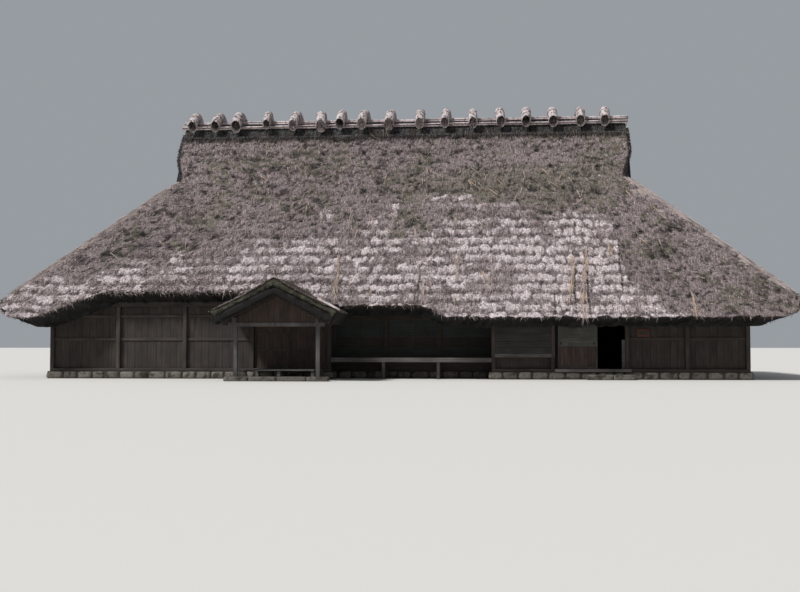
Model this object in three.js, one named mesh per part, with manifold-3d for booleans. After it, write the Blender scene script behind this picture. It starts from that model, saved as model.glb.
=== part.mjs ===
// A thatched hip-and-gable residence: timber frame on a stone footing, board walls, an open veranda with
// a shutter box, a sliding entrance door, a thatched porch, and a ridge held down by straw rolls.
// Millimetres, +Z up, the front faces -Y, X runs along the ridge.

import * as THREE from "three";
import Module from "manifold-3d";
import { mergeVertices } from "three/addons/utils/BufferGeometryUtils.js";

const wasm = await Module();
wasm.setup();

// Driving dimensions
const ken = 1970;                        // carpenter's bay
const gap = 0.3;                         // between pieces that touch
const thatchClear = 0.5;                 // the same, where a sloping thatch face is met
const bite = 1;                          // bars of one piece run this far into each other
const wallX = 6 * ken;                   // half length on the posts' centre lines
const wallY = 2.5 * ken;                 // half depth on the posts' centre lines
const postHalf = 65;
const jointDepth = 50;                   // posts go this far into the sill
const footing = { half: 175, top: 250 };
const sillTop = 350;
const panelThickness = 50;
const roof = {
  eaveX: 14320,                          // half length of the slopes at the height eaveZ
  eaveY: 6200,                           // half depth there
  eaveZ: 2070,
  frontPitch: THREE.MathUtils.degToRad(51.3),
  endPitch: THREE.MathUtils.degToRad(41.2),
  rafterX: 13300,                        // the end rafters are steeper, so the end thatch thickens downwards
  rafterPitch: THREE.MathUtils.degToRad(46.9),
  thickness: 500,
  gableZ: 7250,                          // where the hips stop and the gables start
  topZ: 9350,
  eaveCorner: 600,                       // plan radius of the corners at the eave
  gableCorner: 300,                      // and at the gables' foot
  vergeCorner: 120,
  rafter: 90,
};
const course = {                         // the thatch lies in courses, each with a lip over the one below
  edges: [3400, 4250, 5100, 5950, 6800, 7650, 8500], lip: 30, depth: 55,
};
const eave = {
  middleRise: 400, middleFrom: 1900, middleWidth: 700,
  leftRise: 460, leftFrom: -2600, leftWidth: 900,
  leftTo: -10500, leftFall: 1800,        // it comes down again towards the left corner
  endRise: 480, endFrom: 12700, endWidth: 1620,
};
const verge = { foot: 8270, flare: 330, from: 7250, reach: 1200 };
const frontLeftPosts = [-wallX, -9473, -7127, -4780, -2120];
const frontRightPosts = [3450, 5420, 7880, 5 * ken, wallX];
const wallHead = 2760;                   // the walls run up behind the plates to the rafters
const veranda = {
  left: -2120, right: 3450, inner: 3940, floorTop: 720, edgeBottom: 570, front: 5010,
  board: 40, edge: 100, leg: 50, backLeg: 150,
};
const screens = { count: 3, top: 2050, lintel: 120, rail: 60, post: 55, thickness: 35, inset: 10 };
const door = {
  left: 5585, right: 6900, top: 2104, bottom: 356, back: 5015, front: 5055,
  openingLeft: 6880, openingRight: 7815, openingTop: 2080,
  runner: 120, runnerInset: 90,
};
const lowJamb = { width: 110, half: 35, top: 1330 };
const track = { left: 5485, right: 8000, front: 5120, bottom: 2110, top: 2230 };
const shutterBox = { left: 3385, right: 5484.7, front: 5115, board: 30, bottom: 740, top: 2250, rim: 60 };
const ridge = {
  capHalf: 150, capTop: 9710, capFoot: 9130, capX: 8470, thatchKnee: 9008,
  pole: 80, poleX: 8480, topPoleY: 95, sidePoleY: 360,
};
const roll = {
  radius: 200, wall: 36, reach: 740, crest: 10078, drop: 520, endGrowth: 60, hollow: 260, tilt: 0.35,
};
const rollPlaces = [
  -8100, -7170, -6380, -5240, -4110, -3170, -2350, -1460, -450, 700, 1700, 2690, 3720, 4740, 5720, 6770, 7710,
];
const porch = {
  x: -3450, front: 8000, back: 5215, apex: 3300, halfWidth: 2060, eaveZ: 2240, thickness: 500,
  postX: 1330, postY: 7400, postHalf: 60, postTop: 1860, tieBottom: 1740, tieReach: 220,
  beamHalf: 55, beamReach: 300, boardHalf: 15, stoneTop: 140, stoneReach: 350, stoneHalf: 250,
  deckTop: 360, deckBoard: 60, deckHalf: 1150, deckFront: 7100, deckLeg: 50,
};
const stoneStep = { left: 6500, right: 8100, front: 5560, top: 170 };
const floor = { top: 740, thickness: 60, leg: 50, hallClear: 130, verandaClear: 80, screenClear: 5 };
const gable = { inset: 8010, thickness: 60, clear: 1 };
const rafters = {
  hipClear: 100, purlinClear: 220, longTop: 8780, endTop: 7150,
  footRise: 60, porchFoot: 2700, porchClear: 300,
  fullReach: 7500, purlinReach: 7700, purlinZ: [3600, 5400, 7000, 8500], purlinDrop: 60, purlinsAtEnds: 2,
};

// Small tools
const smooth = (t) => THREE.MathUtils.smoothstep(t, 0, 1);
const frontRun = 1 / Math.tan(roof.frontPitch);
const endRun = 1 / Math.tan(roof.endPitch);
const rafterRun = 1 / Math.tan(roof.rafterPitch);
const frontOffset = (depth) => depth / Math.sin(roof.frontPitch);
const endOffset = (depth) => depth / Math.sin(roof.endPitch);
const rafterOffset = (depth) => depth / Math.sin(roof.rafterPitch);

function box(x0, x1, y0, y1, z0, z1) {
  const geometry = new THREE.BoxGeometry(x1 - x0, y1 - y0, z1 - z0);
  return geometry.translate((x0 + x1) / 2, (y0 + y1) / 2, (z0 + z1) / 2);
}

function closed(points, triangles) {
  const geometry = new THREE.BufferGeometry();
  geometry.setAttribute("position", new THREE.Float32BufferAttribute(points.flat(), 3));
  geometry.setIndex(triangles.flat());
  return geometry;
}

function toSolid(geometry) {
  const bare = geometry.clone();
  bare.deleteAttribute("normal");
  bare.deleteAttribute("uv");
  const merged = mergeVertices(bare, 1e-3);
  return new wasm.Manifold(new wasm.Mesh({
    numProp: 3,
    vertProperties: new Float32Array(merged.attributes.position.array),
    triVerts: new Uint32Array(merged.index.array),
  }));
}

function toGeometry(solid) {
  const mesh = solid.getMesh();
  const geometry = new THREE.BufferGeometry();
  geometry.setAttribute("position", new THREE.BufferAttribute(mesh.vertProperties, 3));
  geometry.setIndex(new THREE.BufferAttribute(mesh.triVerts, 1));
  return geometry;
}

function joined(geometries) {
  return toGeometry(geometries.map(toSolid).reduce((whole, piece) => whole.add(piece)));
}

function cut(geometry, cutters) {
  return toGeometry(cutters.map(toSolid).reduce((rest, cutter) => rest.subtract(cutter), toSolid(geometry)));
}

// A flat outline in the XZ plane, given front thickness between two Y values
function wallPlate(outline, y0, y1) {
  const shape = new THREE.Shape(outline.map(([x, z]) => new THREE.Vector2(x, z)));
  const geometry = new THREE.ExtrudeGeometry(shape, { depth: y1 - y0, bevelEnabled: false });
  return geometry.rotateX(Math.PI / 2).translate(0, y1, 0);
}

// A flat outline in the YZ plane, between two X values
function crossPlate(outline, x0, x1) {
  const shape = new THREE.Shape(outline.map(([y, z]) => new THREE.Vector2(y, z)));
  const geometry = new THREE.ExtrudeGeometry(shape, { depth: x1 - x0, bevelEnabled: false });
  return geometry.rotateZ(Math.PI / 2).rotateY(Math.PI / 2).translate(x0, 0, 0);
}

// Rings of equally many points, skinned one after the other, with flat ends
function skinned(rings) {
  const count = rings[0].length;
  const triangles = [];
  for (let i = 0; i < rings.length - 1; i++) {
    for (let j = 0; j < count; j++) {
      const a = i * count + j;
      const b = i * count + (j + 1) % count;
      triangles.push([a, b + count, b], [a, a + count, b + count]);
    }
  }
  const last = (rings.length - 1) * count;
  for (let j = 1; j < count - 1; j++) {
    triangles.push([0, j, j + 1], [last, last + j + 1, last + j]);
  }
  return closed(rings.flat(), triangles);
}

// Two matching grids of points, an outer and an inner, closed round their edge
function slab(outer, inner) {
  const rows = outer.length;
  const columns = outer[0].length;
  const offset = rows * columns;
  const at = (row, column) => row * columns + column;
  const triangles = [];
  const side = (a, b) => triangles.push([a, b, b + offset], [a, b + offset, a + offset]);
  for (let r = 0; r < rows - 1; r++) {
    for (let c = 0; c < columns - 1; c++) {
      const [a, b, d, e] = [at(r, c), at(r, c + 1), at(r + 1, c + 1), at(r + 1, c)];
      triangles.push([a, b, d], [a, d, e]);
      triangles.push([a + offset, d + offset, b + offset], [a + offset, e + offset, d + offset]);
    }
  }
  for (let c = 0; c < columns - 1; c++) {
    side(at(0, c + 1), at(0, c));
    side(at(rows - 1, c), at(rows - 1, c + 1));
  }
  for (let r = 0; r < rows - 1; r++) {
    // both hips split their mitre the same way, so that neighbours meet face to face
    const [a, b] = [at(r, 0), at(r + 1, 0)];
    triangles.push([a, b, b + offset], [a, b + offset, a + offset]);
    const [f, g] = [at(r, columns - 1), at(r + 1, columns - 1)];
    triangles.push([f, g + offset, g], [f, f + offset, g + offset]);
  }
  return closed([...outer.flat(), ...inner.flat()], triangles);
}

// The roof's outline at one height
function depthAt(z) {
  return roof.eaveY - (z - roof.eaveZ) * frontRun;
}

function lengthAt(z) {
  if (z > roof.gableZ) {
    return verge.foot + verge.flare * smooth((z - verge.from) / verge.reach);
  }
  return roof.eaveX - (z - roof.eaveZ) * endRun;
}

// The end rafters' side of the same outline, at a depth below their own slope
function rafterLengthAt(z, depth) {
  return roof.rafterX - (z - roof.eaveZ) * rafterRun - rafterOffset(depth);
}

function cornerAt(z) {
  if (z > roof.gableZ) {
    return roof.vergeCorner;
  }
  const rise = (z - roof.eaveZ) / (roof.gableZ - roof.eaveZ);
  return THREE.MathUtils.lerp(roof.eaveCorner, roof.gableCorner, rise);
}

// How far a place of the thatch lies behind the lip of its own course
function recessAt(z) {
  const starts = [roof.eaveZ, ...course.edges.map((edge) => edge + course.lip)];
  const next = course.edges.findIndex((edge) => z <= edge);
  const onLip = course.edges.find((edge) => z > edge && z < edge + course.lip);
  if (onLip !== undefined) {
    return course.depth * (1 - (z - onLip) / course.lip);
  }
  if (next < 0) {
    return 0;
  }
  return course.depth * Math.max(0, (z - starts[next]) / (course.edges[next] - starts[next]));
}

// Height of the eave's outer edge beside a point of the plan
function eaveHeight(x, y) {
  const middle = eave.middleRise * smooth((eave.middleFrom - x) / eave.middleWidth);
  const left = eave.leftRise * smooth((eave.leftFrom - x) / eave.leftWidth);
  const fall = 1 - smooth((eave.leftTo - x) / eave.leftFall);
  const raised = y < 0 ? (middle + left) * fall : 0;
  return roof.eaveZ + raised + eave.endRise * smooth((Math.abs(x) - eave.endFrom) / eave.endWidth);
}

// A column of the thatch: side is front, back, left or right; t runs along the straight stretch,
// and turn is the angle round the corner arc.
function thatchPoint(column, z, isInner) {
  const quarter = Math.PI / 4;
  const radius = cornerAt(z);
  let x = lengthAt(z);
  let y = depthAt(z);
  if (isInner) {
    const fromMitre = innerCorner * Math.abs(column.turn - quarter) / quarter;
    x = z > roof.gableZ ? x - 0.3 * radius : rafterLengthAt(z, roof.thickness);
    y = Math.max(gap, y - frontOffset(roof.thickness));
    x -= column.along === "x" ? fromMitre : 0;
    y -= column.along === "y" ? fromMitre : 0;
  } else {
    x -= radius * (1 - Math.sin(column.turn)) + (z > roof.gableZ ? 0 : endOffset(recessAt(z)));
    y -= radius * (1 - Math.cos(column.turn)) + frontOffset(recessAt(z));
  }
  if (column.along === "x") {
    return [column.t * x, column.side * y, z];
  }
  return [column.side * x, column.t * y, z];
}

function thatchSlab(columns, heights, squeeze) {
  const eaveDrop = roof.thickness * Math.cos(roof.frontPitch);
  const outer = [[]];
  const inner = [[]];
  for (const column of columns) {
    const [x, y] = thatchPoint(column, roof.eaveZ, false);
    const z = eaveHeight(x, y);
    outer[0].push(thatchPoint(column, z, false));
    inner[0].push(thatchPoint(column, z - eaveDrop, true));
  }
  for (const z of heights) {
    outer.push(columns.map((column) => thatchPoint(column, z, false)));
    inner.push(columns.map((column) => thatchPoint(column, z, true)));
  }
  for (const row of [...outer, ...inner]) {
    row[0] = row[0].map((value, axis) => value + squeeze[0][axis]);
    row[row.length - 1] = row[row.length - 1].map((value, axis) => value + squeeze[1][axis]);
  }
  return slab(outer, inner);
}

const innerCorner = 60;                  // the corner columns spread this far along the inner face
const courseRows = course.edges.flatMap((edge) => [edge, edge + course.lip]);
const arcTurns = [0.25, 0.5, 0.75, 1].map((part) => part * Math.PI / 4);

// The long slopes: stations are places along the eave where the edge bends
function longSlope(side, stations) {
  const straight = roof.eaveX - roof.eaveCorner;
  const columns = [
    ...arcTurns.toReversed().map((turn) => ({ along: "x", side, t: -1, turn })),
    ...stations.map((x) => ({ along: "x", side, t: x / straight, turn: 0 })),
    ...arcTurns.map((turn) => ({ along: "x", side, t: 1, turn })),
  ];
  const rows = courseRows.filter((z) => z < roof.gableZ);
  const upperRows = courseRows.filter((z) => z > roof.gableZ);
  const heights = [...rows, roof.gableZ, roof.gableZ + 1, ...upperRows, ridge.thatchKnee, roof.topZ];
  const squeeze = [[gap, 0, 0], [-gap, 0, 0]];
  return thatchSlab(side < 0 ? columns : columns.toReversed(), heights,
    side < 0 ? squeeze : squeeze.toReversed());
}

function endSlope(side, stations) {
  const straight = roof.eaveY - roof.eaveCorner;
  const endTurns = arcTurns.map((turn) => Math.PI / 2 - turn);
  const columns = [
    ...endTurns.toReversed().map((turn) => ({ along: "y", side, t: -1, turn })),
    ...stations.map((y) => ({ along: "y", side, t: y / straight, turn: Math.PI / 2 })),
    ...endTurns.map((turn) => ({ along: "y", side, t: 1, turn })),
  ];
  const heights = [...courseRows.filter((z) => z < roof.gableZ), roof.gableZ - thatchClear];
  const squeeze = [[0, gap, 0], [0, -gap, 0]];
  return thatchSlab(side > 0 ? columns : columns.toReversed(), heights,
    side > 0 ? squeeze : squeeze.toReversed());
}

// A bar of a rafter frame, lying in a layer under a slope
function barOutline(corner, z0, z1, top, bottom) {
  return [[corner(z0, top), z0], [corner(z1, top), z1], [corner(z1, bottom), z1], [corner(z0, bottom), z0]];
}

function frontBar(side, x0, x1, z0, z1, top, bottom) {
  const corner = (z, depth) => side * Math.max(gap, depthAt(z) - frontOffset(depth));
  const outline = barOutline(corner, z0, z1, top, bottom);
  return crossPlate(side < 0 ? outline.toReversed() : outline, x0, x1);
}

function endBar(side, y0, y1, z0, z1, top, bottom) {
  const corner = (z, depth) => side * rafterLengthAt(z, depth);
  const outline = barOutline(corner, z0, z1, top, bottom);
  return wallPlate(side > 0 ? outline.toReversed() : outline, y0, y1);
}

const material = (color, roughness = 0.9) => new THREE.MeshStandardMaterial({
  color, roughness, metalness: 0, flatShading: true,
});
const finishes = {
  thatch: 0x7b6f66, capThatch: 0x4b4641, straw: 0xb9b0a8, bamboo: 0xa89c8e, timber: 0x5a4a40,
  paleTimber: 0x857a76, boards: 0x4a4340, doorBoards: 0x6d5348, stone: 0x8a8680, screen: 0x3d4341,
};

function addPiece(group, name, geometry, finish) {
  const mesh = new THREE.Mesh(geometry, material(finishes[finish]));
  mesh.name = name;
  group.add(mesh);
  return mesh;
}

// Roof
function addThatch(group) {
  const frontStations = [
    -13720, -13400, -13050, -12700, -12300, -11850, -11400, -10950, -10500, -9000, -6500, -4500,
    -3500, -3275, -3050, -2825, -2600, -1000, 500, 1200, 1375, 1550, 1725, 1900,
    3500, 6000, 8500, 10600, 12700, 13050, 13400, 13720,
  ];
  const backStations = [-13720, -13400, -13050, -12700, -6500, 0, 6500, 12700, 13050, 13400, 13720];
  const endStations = [-5600, -2800, 0, 2800, 5600];
  addPiece(group, "thatch_front", longSlope(-1, frontStations), "thatch");
  addPiece(group, "thatch_back", longSlope(1, backStations), "thatch");
  addPiece(group, "thatch_left_end", endSlope(-1, endStations), "thatch");
  addPiece(group, "thatch_right_end", endSlope(1, endStations), "thatch");
}

function addGables(group) {
  const { inset, thickness, clear } = gable;
  const halfAt = (z) => depthAt(z) - frontOffset(roof.thickness) - clear;
  const apex = roof.eaveZ + (roof.eaveY - frontOffset(roof.thickness) - clear) / frontRun;
  const foot = roof.gableZ + gap;
  const outline = [[-halfAt(foot), foot], [halfAt(foot), foot], [0, apex - clear]];
  addPiece(group, "gable_left", crossPlate(outline, -inset, thickness - inset), "boards");
  addPiece(group, "gable_right", crossPlate(outline, inset - thickness, inset), "boards");
}

function addRidge(group) {
  const capFootY = ridge.capHalf + (ridge.capTop - ridge.capFoot) * frontRun;
  const inside = (z) => depthAt(z) + thatchClear;
  const half = [
    [capFootY, ridge.capFoot], [ridge.capHalf, ridge.capTop],
  ];
  const outline = [
    ...half,
    ...half.toReversed().map(([y, z]) => [-y, z]),
    [-inside(ridge.capFoot), ridge.capFoot], [-inside(roof.topZ), roof.topZ + gap],
    [inside(roof.topZ), roof.topZ + gap], [inside(ridge.capFoot), ridge.capFoot],
  ];
  addPiece(group, "ridge_cap", crossPlate(outline, -ridge.capX, ridge.capX), "capThatch");

  // each pole is turned so that one of its edges lies on the cap
  const pole = (y, z, turn) => {
    const geometry = new THREE.CylinderGeometry(ridge.pole, ridge.pole, 2 * ridge.poleX, 10);
    return geometry.rotateZ(Math.PI / 2).rotateX(turn).translate(0, y, z);
  };
  const sideZ = ridge.capTop - (ridge.sidePoleY - ridge.capHalf) / frontRun
    + (ridge.pole + gap) / Math.cos(roof.frontPitch);
  addPiece(group, "ridge_pole_front", pole(-ridge.sidePoleY, sideZ, roof.frontPitch), "bamboo");
  addPiece(group, "ridge_pole_back", pole(ridge.sidePoleY, sideZ, -roof.frontPitch), "bamboo");
  const topZ = ridge.capTop + ridge.pole + gap;
  const topPoles = [pole(-ridge.topPoleY, topZ, 0), pole(ridge.topPoleY, topZ, 0)];
  addPiece(group, "ridge_rolls", joined([...topPoles, ...rollPlaces.map(strawRoll)]), "straw");
}

// One roll bent over the ridge, hollow at both ends
function strawRoll(x) {
  const sides = 10;
  const ring = (t, shrink) => {
    const y = roll.reach * t;
    const z = roll.crest - roll.drop * t * t;
    const slope = -2 * roll.drop * t / roll.reach;
    const lean = roll.tilt * slope;
    const high = roll.radius + roll.endGrowth * t * t - shrink;
    const wide = roll.radius - shrink;
    return Array.from({ length: sides }, (_, i) => {
      const angle = 2 * Math.PI * i / sides;
      const up = high * Math.sin(angle);
      return [x + wide * Math.cos(angle), y - up * Math.sin(lean), z + up * Math.cos(lean)];
    });
  };
  const hollow = 1 - roll.hollow / roll.reach;
  const steps = [-1, -0.62, -0.25, 0.25, 0.62, 1];
  const rings = [
    ring(-hollow, roll.wall), ring(-1, roll.wall),
    ...steps.map((t) => ring(t, 0)),
    ring(1, roll.wall), ring(hollow, roll.wall),
  ];
  return skinned(rings);
}

function addRafterFrames(group) {
  const top = roof.thickness + gap;
  const under = roof.thickness + roof.rafter;
  const half = roof.rafter / 2;
  const halfKen = ken / 2;
  const eaveDrop = roof.thickness * Math.cos(roof.frontPitch);
  const { hipClear, purlinClear, longTop, endTop, footRise, purlinZ, purlinDrop } = rafters;
  const hipReach = rafterLengthAt(roof.eaveZ, under) - hipClear - half;
  for (const [side, name] of [[-1, "roof_frame_front"], [1, "roof_frame_back"]]) {
    const bars = [];
    for (let i = -11; i <= 11; i++) {
      const x = i * halfKen;
      const nearPorch = side < 0 && Math.abs(x - porch.x) < porch.halfWidth + rafters.porchClear;
      const foot = nearPorch ? rafters.porchFoot : eaveHeight(x, side * roof.eaveY) - eaveDrop + footRise;
      const hipZ = roof.eaveZ + (hipReach - Math.abs(x)) / rafterRun;
      const head = Math.abs(x) < rafters.fullReach ? longTop : Math.min(longTop, hipZ);
      bars.push(frontBar(side, x - half, x + half, foot, head, top, under));
    }
    for (const z of purlinZ) {
      const reach = (z < roof.gableZ ? rafterLengthAt(z, under) : rafters.purlinReach) - purlinClear;
      bars.push(frontBar(side, -reach, reach, z, z + roof.rafter, top + purlinDrop, under + purlinDrop));
    }
    addPiece(group, name, joined(bars), "timber");
  }
  for (const [side, name] of [[-1, "roof_frame_left"], [1, "roof_frame_right"]]) {
    const bars = [];
    for (let i = -4; i <= 4; i++) {
      const y = i * halfKen;
      const foot = eaveHeight(side * roof.eaveX, y) - eaveDrop + footRise;
      const hipZ = roof.eaveZ + (roof.eaveY - frontOffset(under) - hipClear - Math.abs(y) - half) / frontRun;
      bars.push(endBar(side, y - half, y + half, foot, Math.min(endTop, hipZ), top, under));
    }
    for (const z of purlinZ.slice(0, rafters.purlinsAtEnds)) {
      const reach = depthAt(z) - frontOffset(under) - purlinClear;
      bars.push(endBar(side, -reach, reach, z, z + roof.rafter, top + purlinDrop, under + purlinDrop));
    }
    addPiece(group, name, joined(bars), "timber");
  }
}

// Timber frame and walls
const plateBottom = 2470;
const endPlateBottom = 2540;
const outerY = wallY + postHalf;
const outerX = wallX + postHalf;
const underDepth = roof.thickness + roof.rafter;
const plateTop = roof.eaveZ + (roof.eaveY - frontOffset(underDepth) - outerY) / frontRun - gap;
const endPlateTop = roof.eaveZ + (rafterLengthAt(roof.eaveZ, underDepth) - outerX) / rafterRun - gap;

function post(x, y, z0, z1) {
  return box(x - postHalf, x + postHalf, y - postHalf, y + postHalf, z0, z1);
}

function longFrame(places, y) {
  const [first, last] = [places[0], places[places.length - 1]];
  const sill = box(first - postHalf, last + postHalf, y - postHalf, y + postHalf, footing.top + gap, sillTop);
  return joined([sill, ...places.map((x) => post(x, y, sillTop - jointDepth, plateBottom - gap))]);
}

function endFrame(side) {
  const x = side * wallX;
  const reach = wallY - postHalf - gap;
  const sill = box(x - postHalf, x + postHalf, -reach, reach, footing.top + gap, sillTop);
  const places = [-1.5, -0.5, 0.5, 1.5].map((bay) => bay * ken);
  return joined([sill, ...places.map((y) => post(x, y, sillTop - jointDepth, endPlateBottom - gap))]);
}

function addFrame(group) {
  const backPosts = Array.from({ length: 13 }, (_, i) => (i - 6) * ken);
  addPiece(group, "front_frame_left", longFrame(frontLeftPosts, -wallY), "timber");
  addPiece(group, "front_frame_right", longFrame(frontRightPosts, -wallY), "timber");
  addPiece(group, "back_frame", longFrame(backPosts, wallY), "timber");
  addPiece(group, "left_frame", endFrame(-1), "timber");
  addPiece(group, "right_frame", endFrame(1), "timber");
  const plates = [-1, 1].flatMap((side) => {
    const y = side * wallY;
    const x = side * wallX;
    return [
      box(-outerX, outerX, y - postHalf, y + postHalf, plateBottom, plateTop),
      box(x - postHalf, x + postHalf, -wallY, wallY, endPlateBottom, endPlateTop),
    ];
  });
  addPiece(group, "wall_plates", joined(plates), "timber");
}

function addFooting(group) {
  const { half, top } = footing;
  const strip = (x0, x1, y0, y1) => box(x0 - half, x1 + half, y0 - half, y1 + half, 0, top);
  const pieces = [
    strip(-wallX, veranda.left, -wallY, -wallY), strip(veranda.right, wallX, -wallY, -wallY),
    strip(veranda.left, veranda.left, -wallY, -veranda.inner),
    strip(veranda.right, veranda.right, -wallY, -veranda.inner),
    strip(veranda.left, veranda.right, -veranda.inner, -veranda.inner),
    strip(-wallX, wallX, wallY, wallY),
    strip(-wallX, -wallX, -wallY, wallY), strip(wallX, wallX, -wallY, wallY),
  ];
  addPiece(group, "footing", joined(pieces), "stone");
}

function addWalls(group) {
  const face = wallY - postHalf - gap;
  const inside = face - panelThickness;
  const endFace = wallX - postHalf - gap;
  const endInside = endFace - panelThickness;
  const foot = footing.top + gap;
  const head = wallHead;
  const doorLeft = frontLeftPosts[3];
  const panel = (x0, x1, z0, z1) => wallPlate([[x0, z0], [x1, z0], [x1, z1], [x0, z1]], -face, -inside);
  const leftOutline = [
    [-endFace, foot], [doorLeft, foot], [doorLeft, screens.top], [veranda.left - gap, screens.top],
    [veranda.left - gap, head], [-endFace, head],
  ];
  addPiece(group, "front_wall_left", wallPlate(leftOutline, -face, -inside), "boards");
  addPiece(group, "porch_doors",
    panel(doorLeft + gap, veranda.left - gap, foot, screens.top - gap), "doorBoards");
  addPiece(group, "front_wall_middle", panel(veranda.right + gap, door.openingLeft, foot, head), "boards");
  addPiece(group, "door_head_wall",
    panel(door.openingLeft + gap, door.openingRight - gap, door.openingTop, head), "boards");
  addPiece(group, "front_wall_right", panel(door.openingRight, endFace, foot, head), "boards");
  addPiece(group, "back_wall", box(-endFace, endFace, inside, face, foot, head), "boards");
  for (const [side, name] of [[-1, "left_wall"], [1, "right_wall"]]) {
    const [x0, x1] = [side * endInside, side * endFace].sort((a, b) => a - b);
    addPiece(group, name, box(x0, x1, -inside + gap, inside - gap, foot, head), "boards");
  }
}

function addFloor(group) {
  const { top, thickness, leg } = floor;
  const bottom = top - thickness;
  const reachX = wallX - postHalf - panelThickness - 2 * gap;
  const reachY = wallY - postHalf - panelThickness - 2 * gap;
  const innerY = veranda.inner - screens.post - floor.screenClear;
  const hallX = track.left - floor.hallClear;
  const deck = [
    box(-reachX, hallX, -innerY, reachY, bottom, top),
    box(-reachX, veranda.left - floor.verandaClear, -reachY, -innerY + bite, bottom, top),
    box(veranda.right + floor.verandaClear, hallX, -reachY, -innerY + bite, bottom, top),
  ];
  // a leg under every second bay, in three rows
  for (const bayX of [-4.5, -2.5, -0.5, 1.5]) {
    for (const bayY of [-1.5, 0, 1.5]) {
      const [x, y] = [bayX * ken, bayY * ken];
      deck.push(box(x - leg, x + leg, y - leg, y + leg, 0, bottom + bite));
    }
  }
  addPiece(group, "room_floor", joined(deck), "timber");
}

function addVeranda(group) {
  const { left, right, inner, floorTop, edgeBottom, front, board, edge, leg, backLeg } = veranda;
  const reach = { left: left + postHalf + gap, right: right - postHalf - gap };
  const backEdge = inner + screens.post + gap;
  const deck = [
    box(reach.left, reach.right, -front, -backEdge, floorTop - board, floorTop),
    box(reach.left, reach.right, -front, -front + edge, edgeBottom, floorTop),
  ];
  const span = (right - left) / screens.count;
  for (let i = 1; i < screens.count; i++) {
    const x = left + i * span;
    const backY = -backEdge - backLeg;
    deck.push(box(x - leg, x + leg, -front, -front + 2 * leg, 0, edgeBottom + bite));
    deck.push(box(x - leg, x + leg, backY - 2 * leg, backY, 0, floorTop - board + bite));
  }
  addPiece(group, "veranda_floor", joined(deck), "paleTimber");

  // posts, ground rail and lintel round the screens, with boards up to the rafters
  const half = screens.post;
  const roofAt = (y) => roof.eaveZ + (roof.eaveY - frontOffset(underDepth) - y) / frontRun;
  const lintelTop = screens.top + screens.lintel;
  const railTop = floorTop + screens.rail;
  const pieces = [
    box(left - half, right + half, -inner - half, -inner + half, footing.top + gap, railTop),
    box(left - half, right + half, -inner - half, -inner + half, screens.top, lintelTop),
    box(left - half, right + half, -inner, -inner + half, lintelTop - bite, roofAt(inner) - screens.inset),
  ];
  for (let i = 0; i <= screens.count; i++) {
    const x = left + i * span;
    pieces.push(box(x - half, x + half, -inner - half, -inner + half, railTop - bite, screens.top + bite));
  }
  addPiece(group, "screen_frame", joined(pieces), "timber");
  for (let i = 0; i < screens.count; i++) {
    const x0 = left + i * span + half + gap;
    const x1 = left + (i + 1) * span - half - gap;
    const y = -inner + half - screens.inset;
    addPiece(group, `veranda_screen_${i + 1}`,
      box(x0, x1, y - screens.thickness, y, railTop + gap, screens.top - gap), "screen");
  }

  const [near, far] = [wallY - postHalf - gap, inner + half + gap];
  const headDrop = 100;
  const ends = [
    [-near, footing.top + gap], [-far, footing.top + gap],
    [-far, roofAt(far) - headDrop], [-near, roofAt(near) - headDrop],
  ];
  addPiece(group, "veranda_end_left", crossPlate(ends, left, left + panelThickness), "boards");
  addPiece(group, "veranda_end_right", crossPlate(ends, right - panelThickness, right), "boards");
}

function addShutterBox(group) {
  const { left, right, front, board, bottom, top, rim } = shutterBox;
  const back = outerY + gap;
  const pieces = [
    box(left, right, -front, -front + board, bottom, top),
    box(left, left + rim, -front + bite, -back, bottom, top),
    box(right - rim, right, -front + bite, -back, bottom, top),
    box(left, right, -front + bite, -back, bottom, bottom + rim),
    box(left, right, -front + bite, -back, top - rim, top),
  ];
  addPiece(group, "shutter_box", joined(pieces), "paleTimber");
}

// Entrance: the leaf hangs in front of the posts and slides to the right over the opening
function addEntrance(group) {
  const back = outerY + gap;
  addPiece(group, "threshold",
    box(track.left, track.right, -track.front, -back, footing.top + gap, sillTop), "paleTimber");
  addPiece(group, "door_track",
    box(track.left, track.right, -track.front, -back, track.bottom, track.top), "timber");
  const [jambY, jambX] = [lowJamb.half, door.openingRight];
  addPiece(group, "low_jamb",
    box(jambX - lowJamb.width, jambX - gap, -wallY - jambY, -wallY + jambY, sillTop + gap, lowJamb.top),
    "paleTimber");
  addPiece(group, "stone_step",
    box(stoneStep.left, stoneStep.right, -stoneStep.front, -wallY - footing.half - gap, 0, stoneStep.top),
    "stone");
  const runner = (x) => box(x, x + door.runner, -door.front, -door.back, sillTop + gap, door.bottom + bite);
  const leaf = joined([
    box(door.left, door.right, -door.front, -door.back, door.bottom, door.top),
    runner(door.left + door.runnerInset), runner(door.right - door.runnerInset - door.runner),
  ]);
  addPiece(group, "door_leaf", leaf, "doorBoards");
}

// Porch, in its own group: X is measured from its centre line
function porchSlope(side) {
  const pitch = Math.atan2(porch.apex - porch.eaveZ, porch.halfWidth);
  const outline = [
    [side * gap, porch.apex],
    [side * gap, porch.apex - porch.thickness / Math.cos(pitch)],
    [side * (porch.halfWidth - porch.thickness * Math.sin(pitch)),
      porch.eaveZ - porch.thickness * Math.cos(pitch)],
    [side * porch.halfWidth, porch.eaveZ],
  ];
  return wallPlate(side > 0 ? outline : outline.toReversed(), -porch.front, -porch.back);
}

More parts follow.
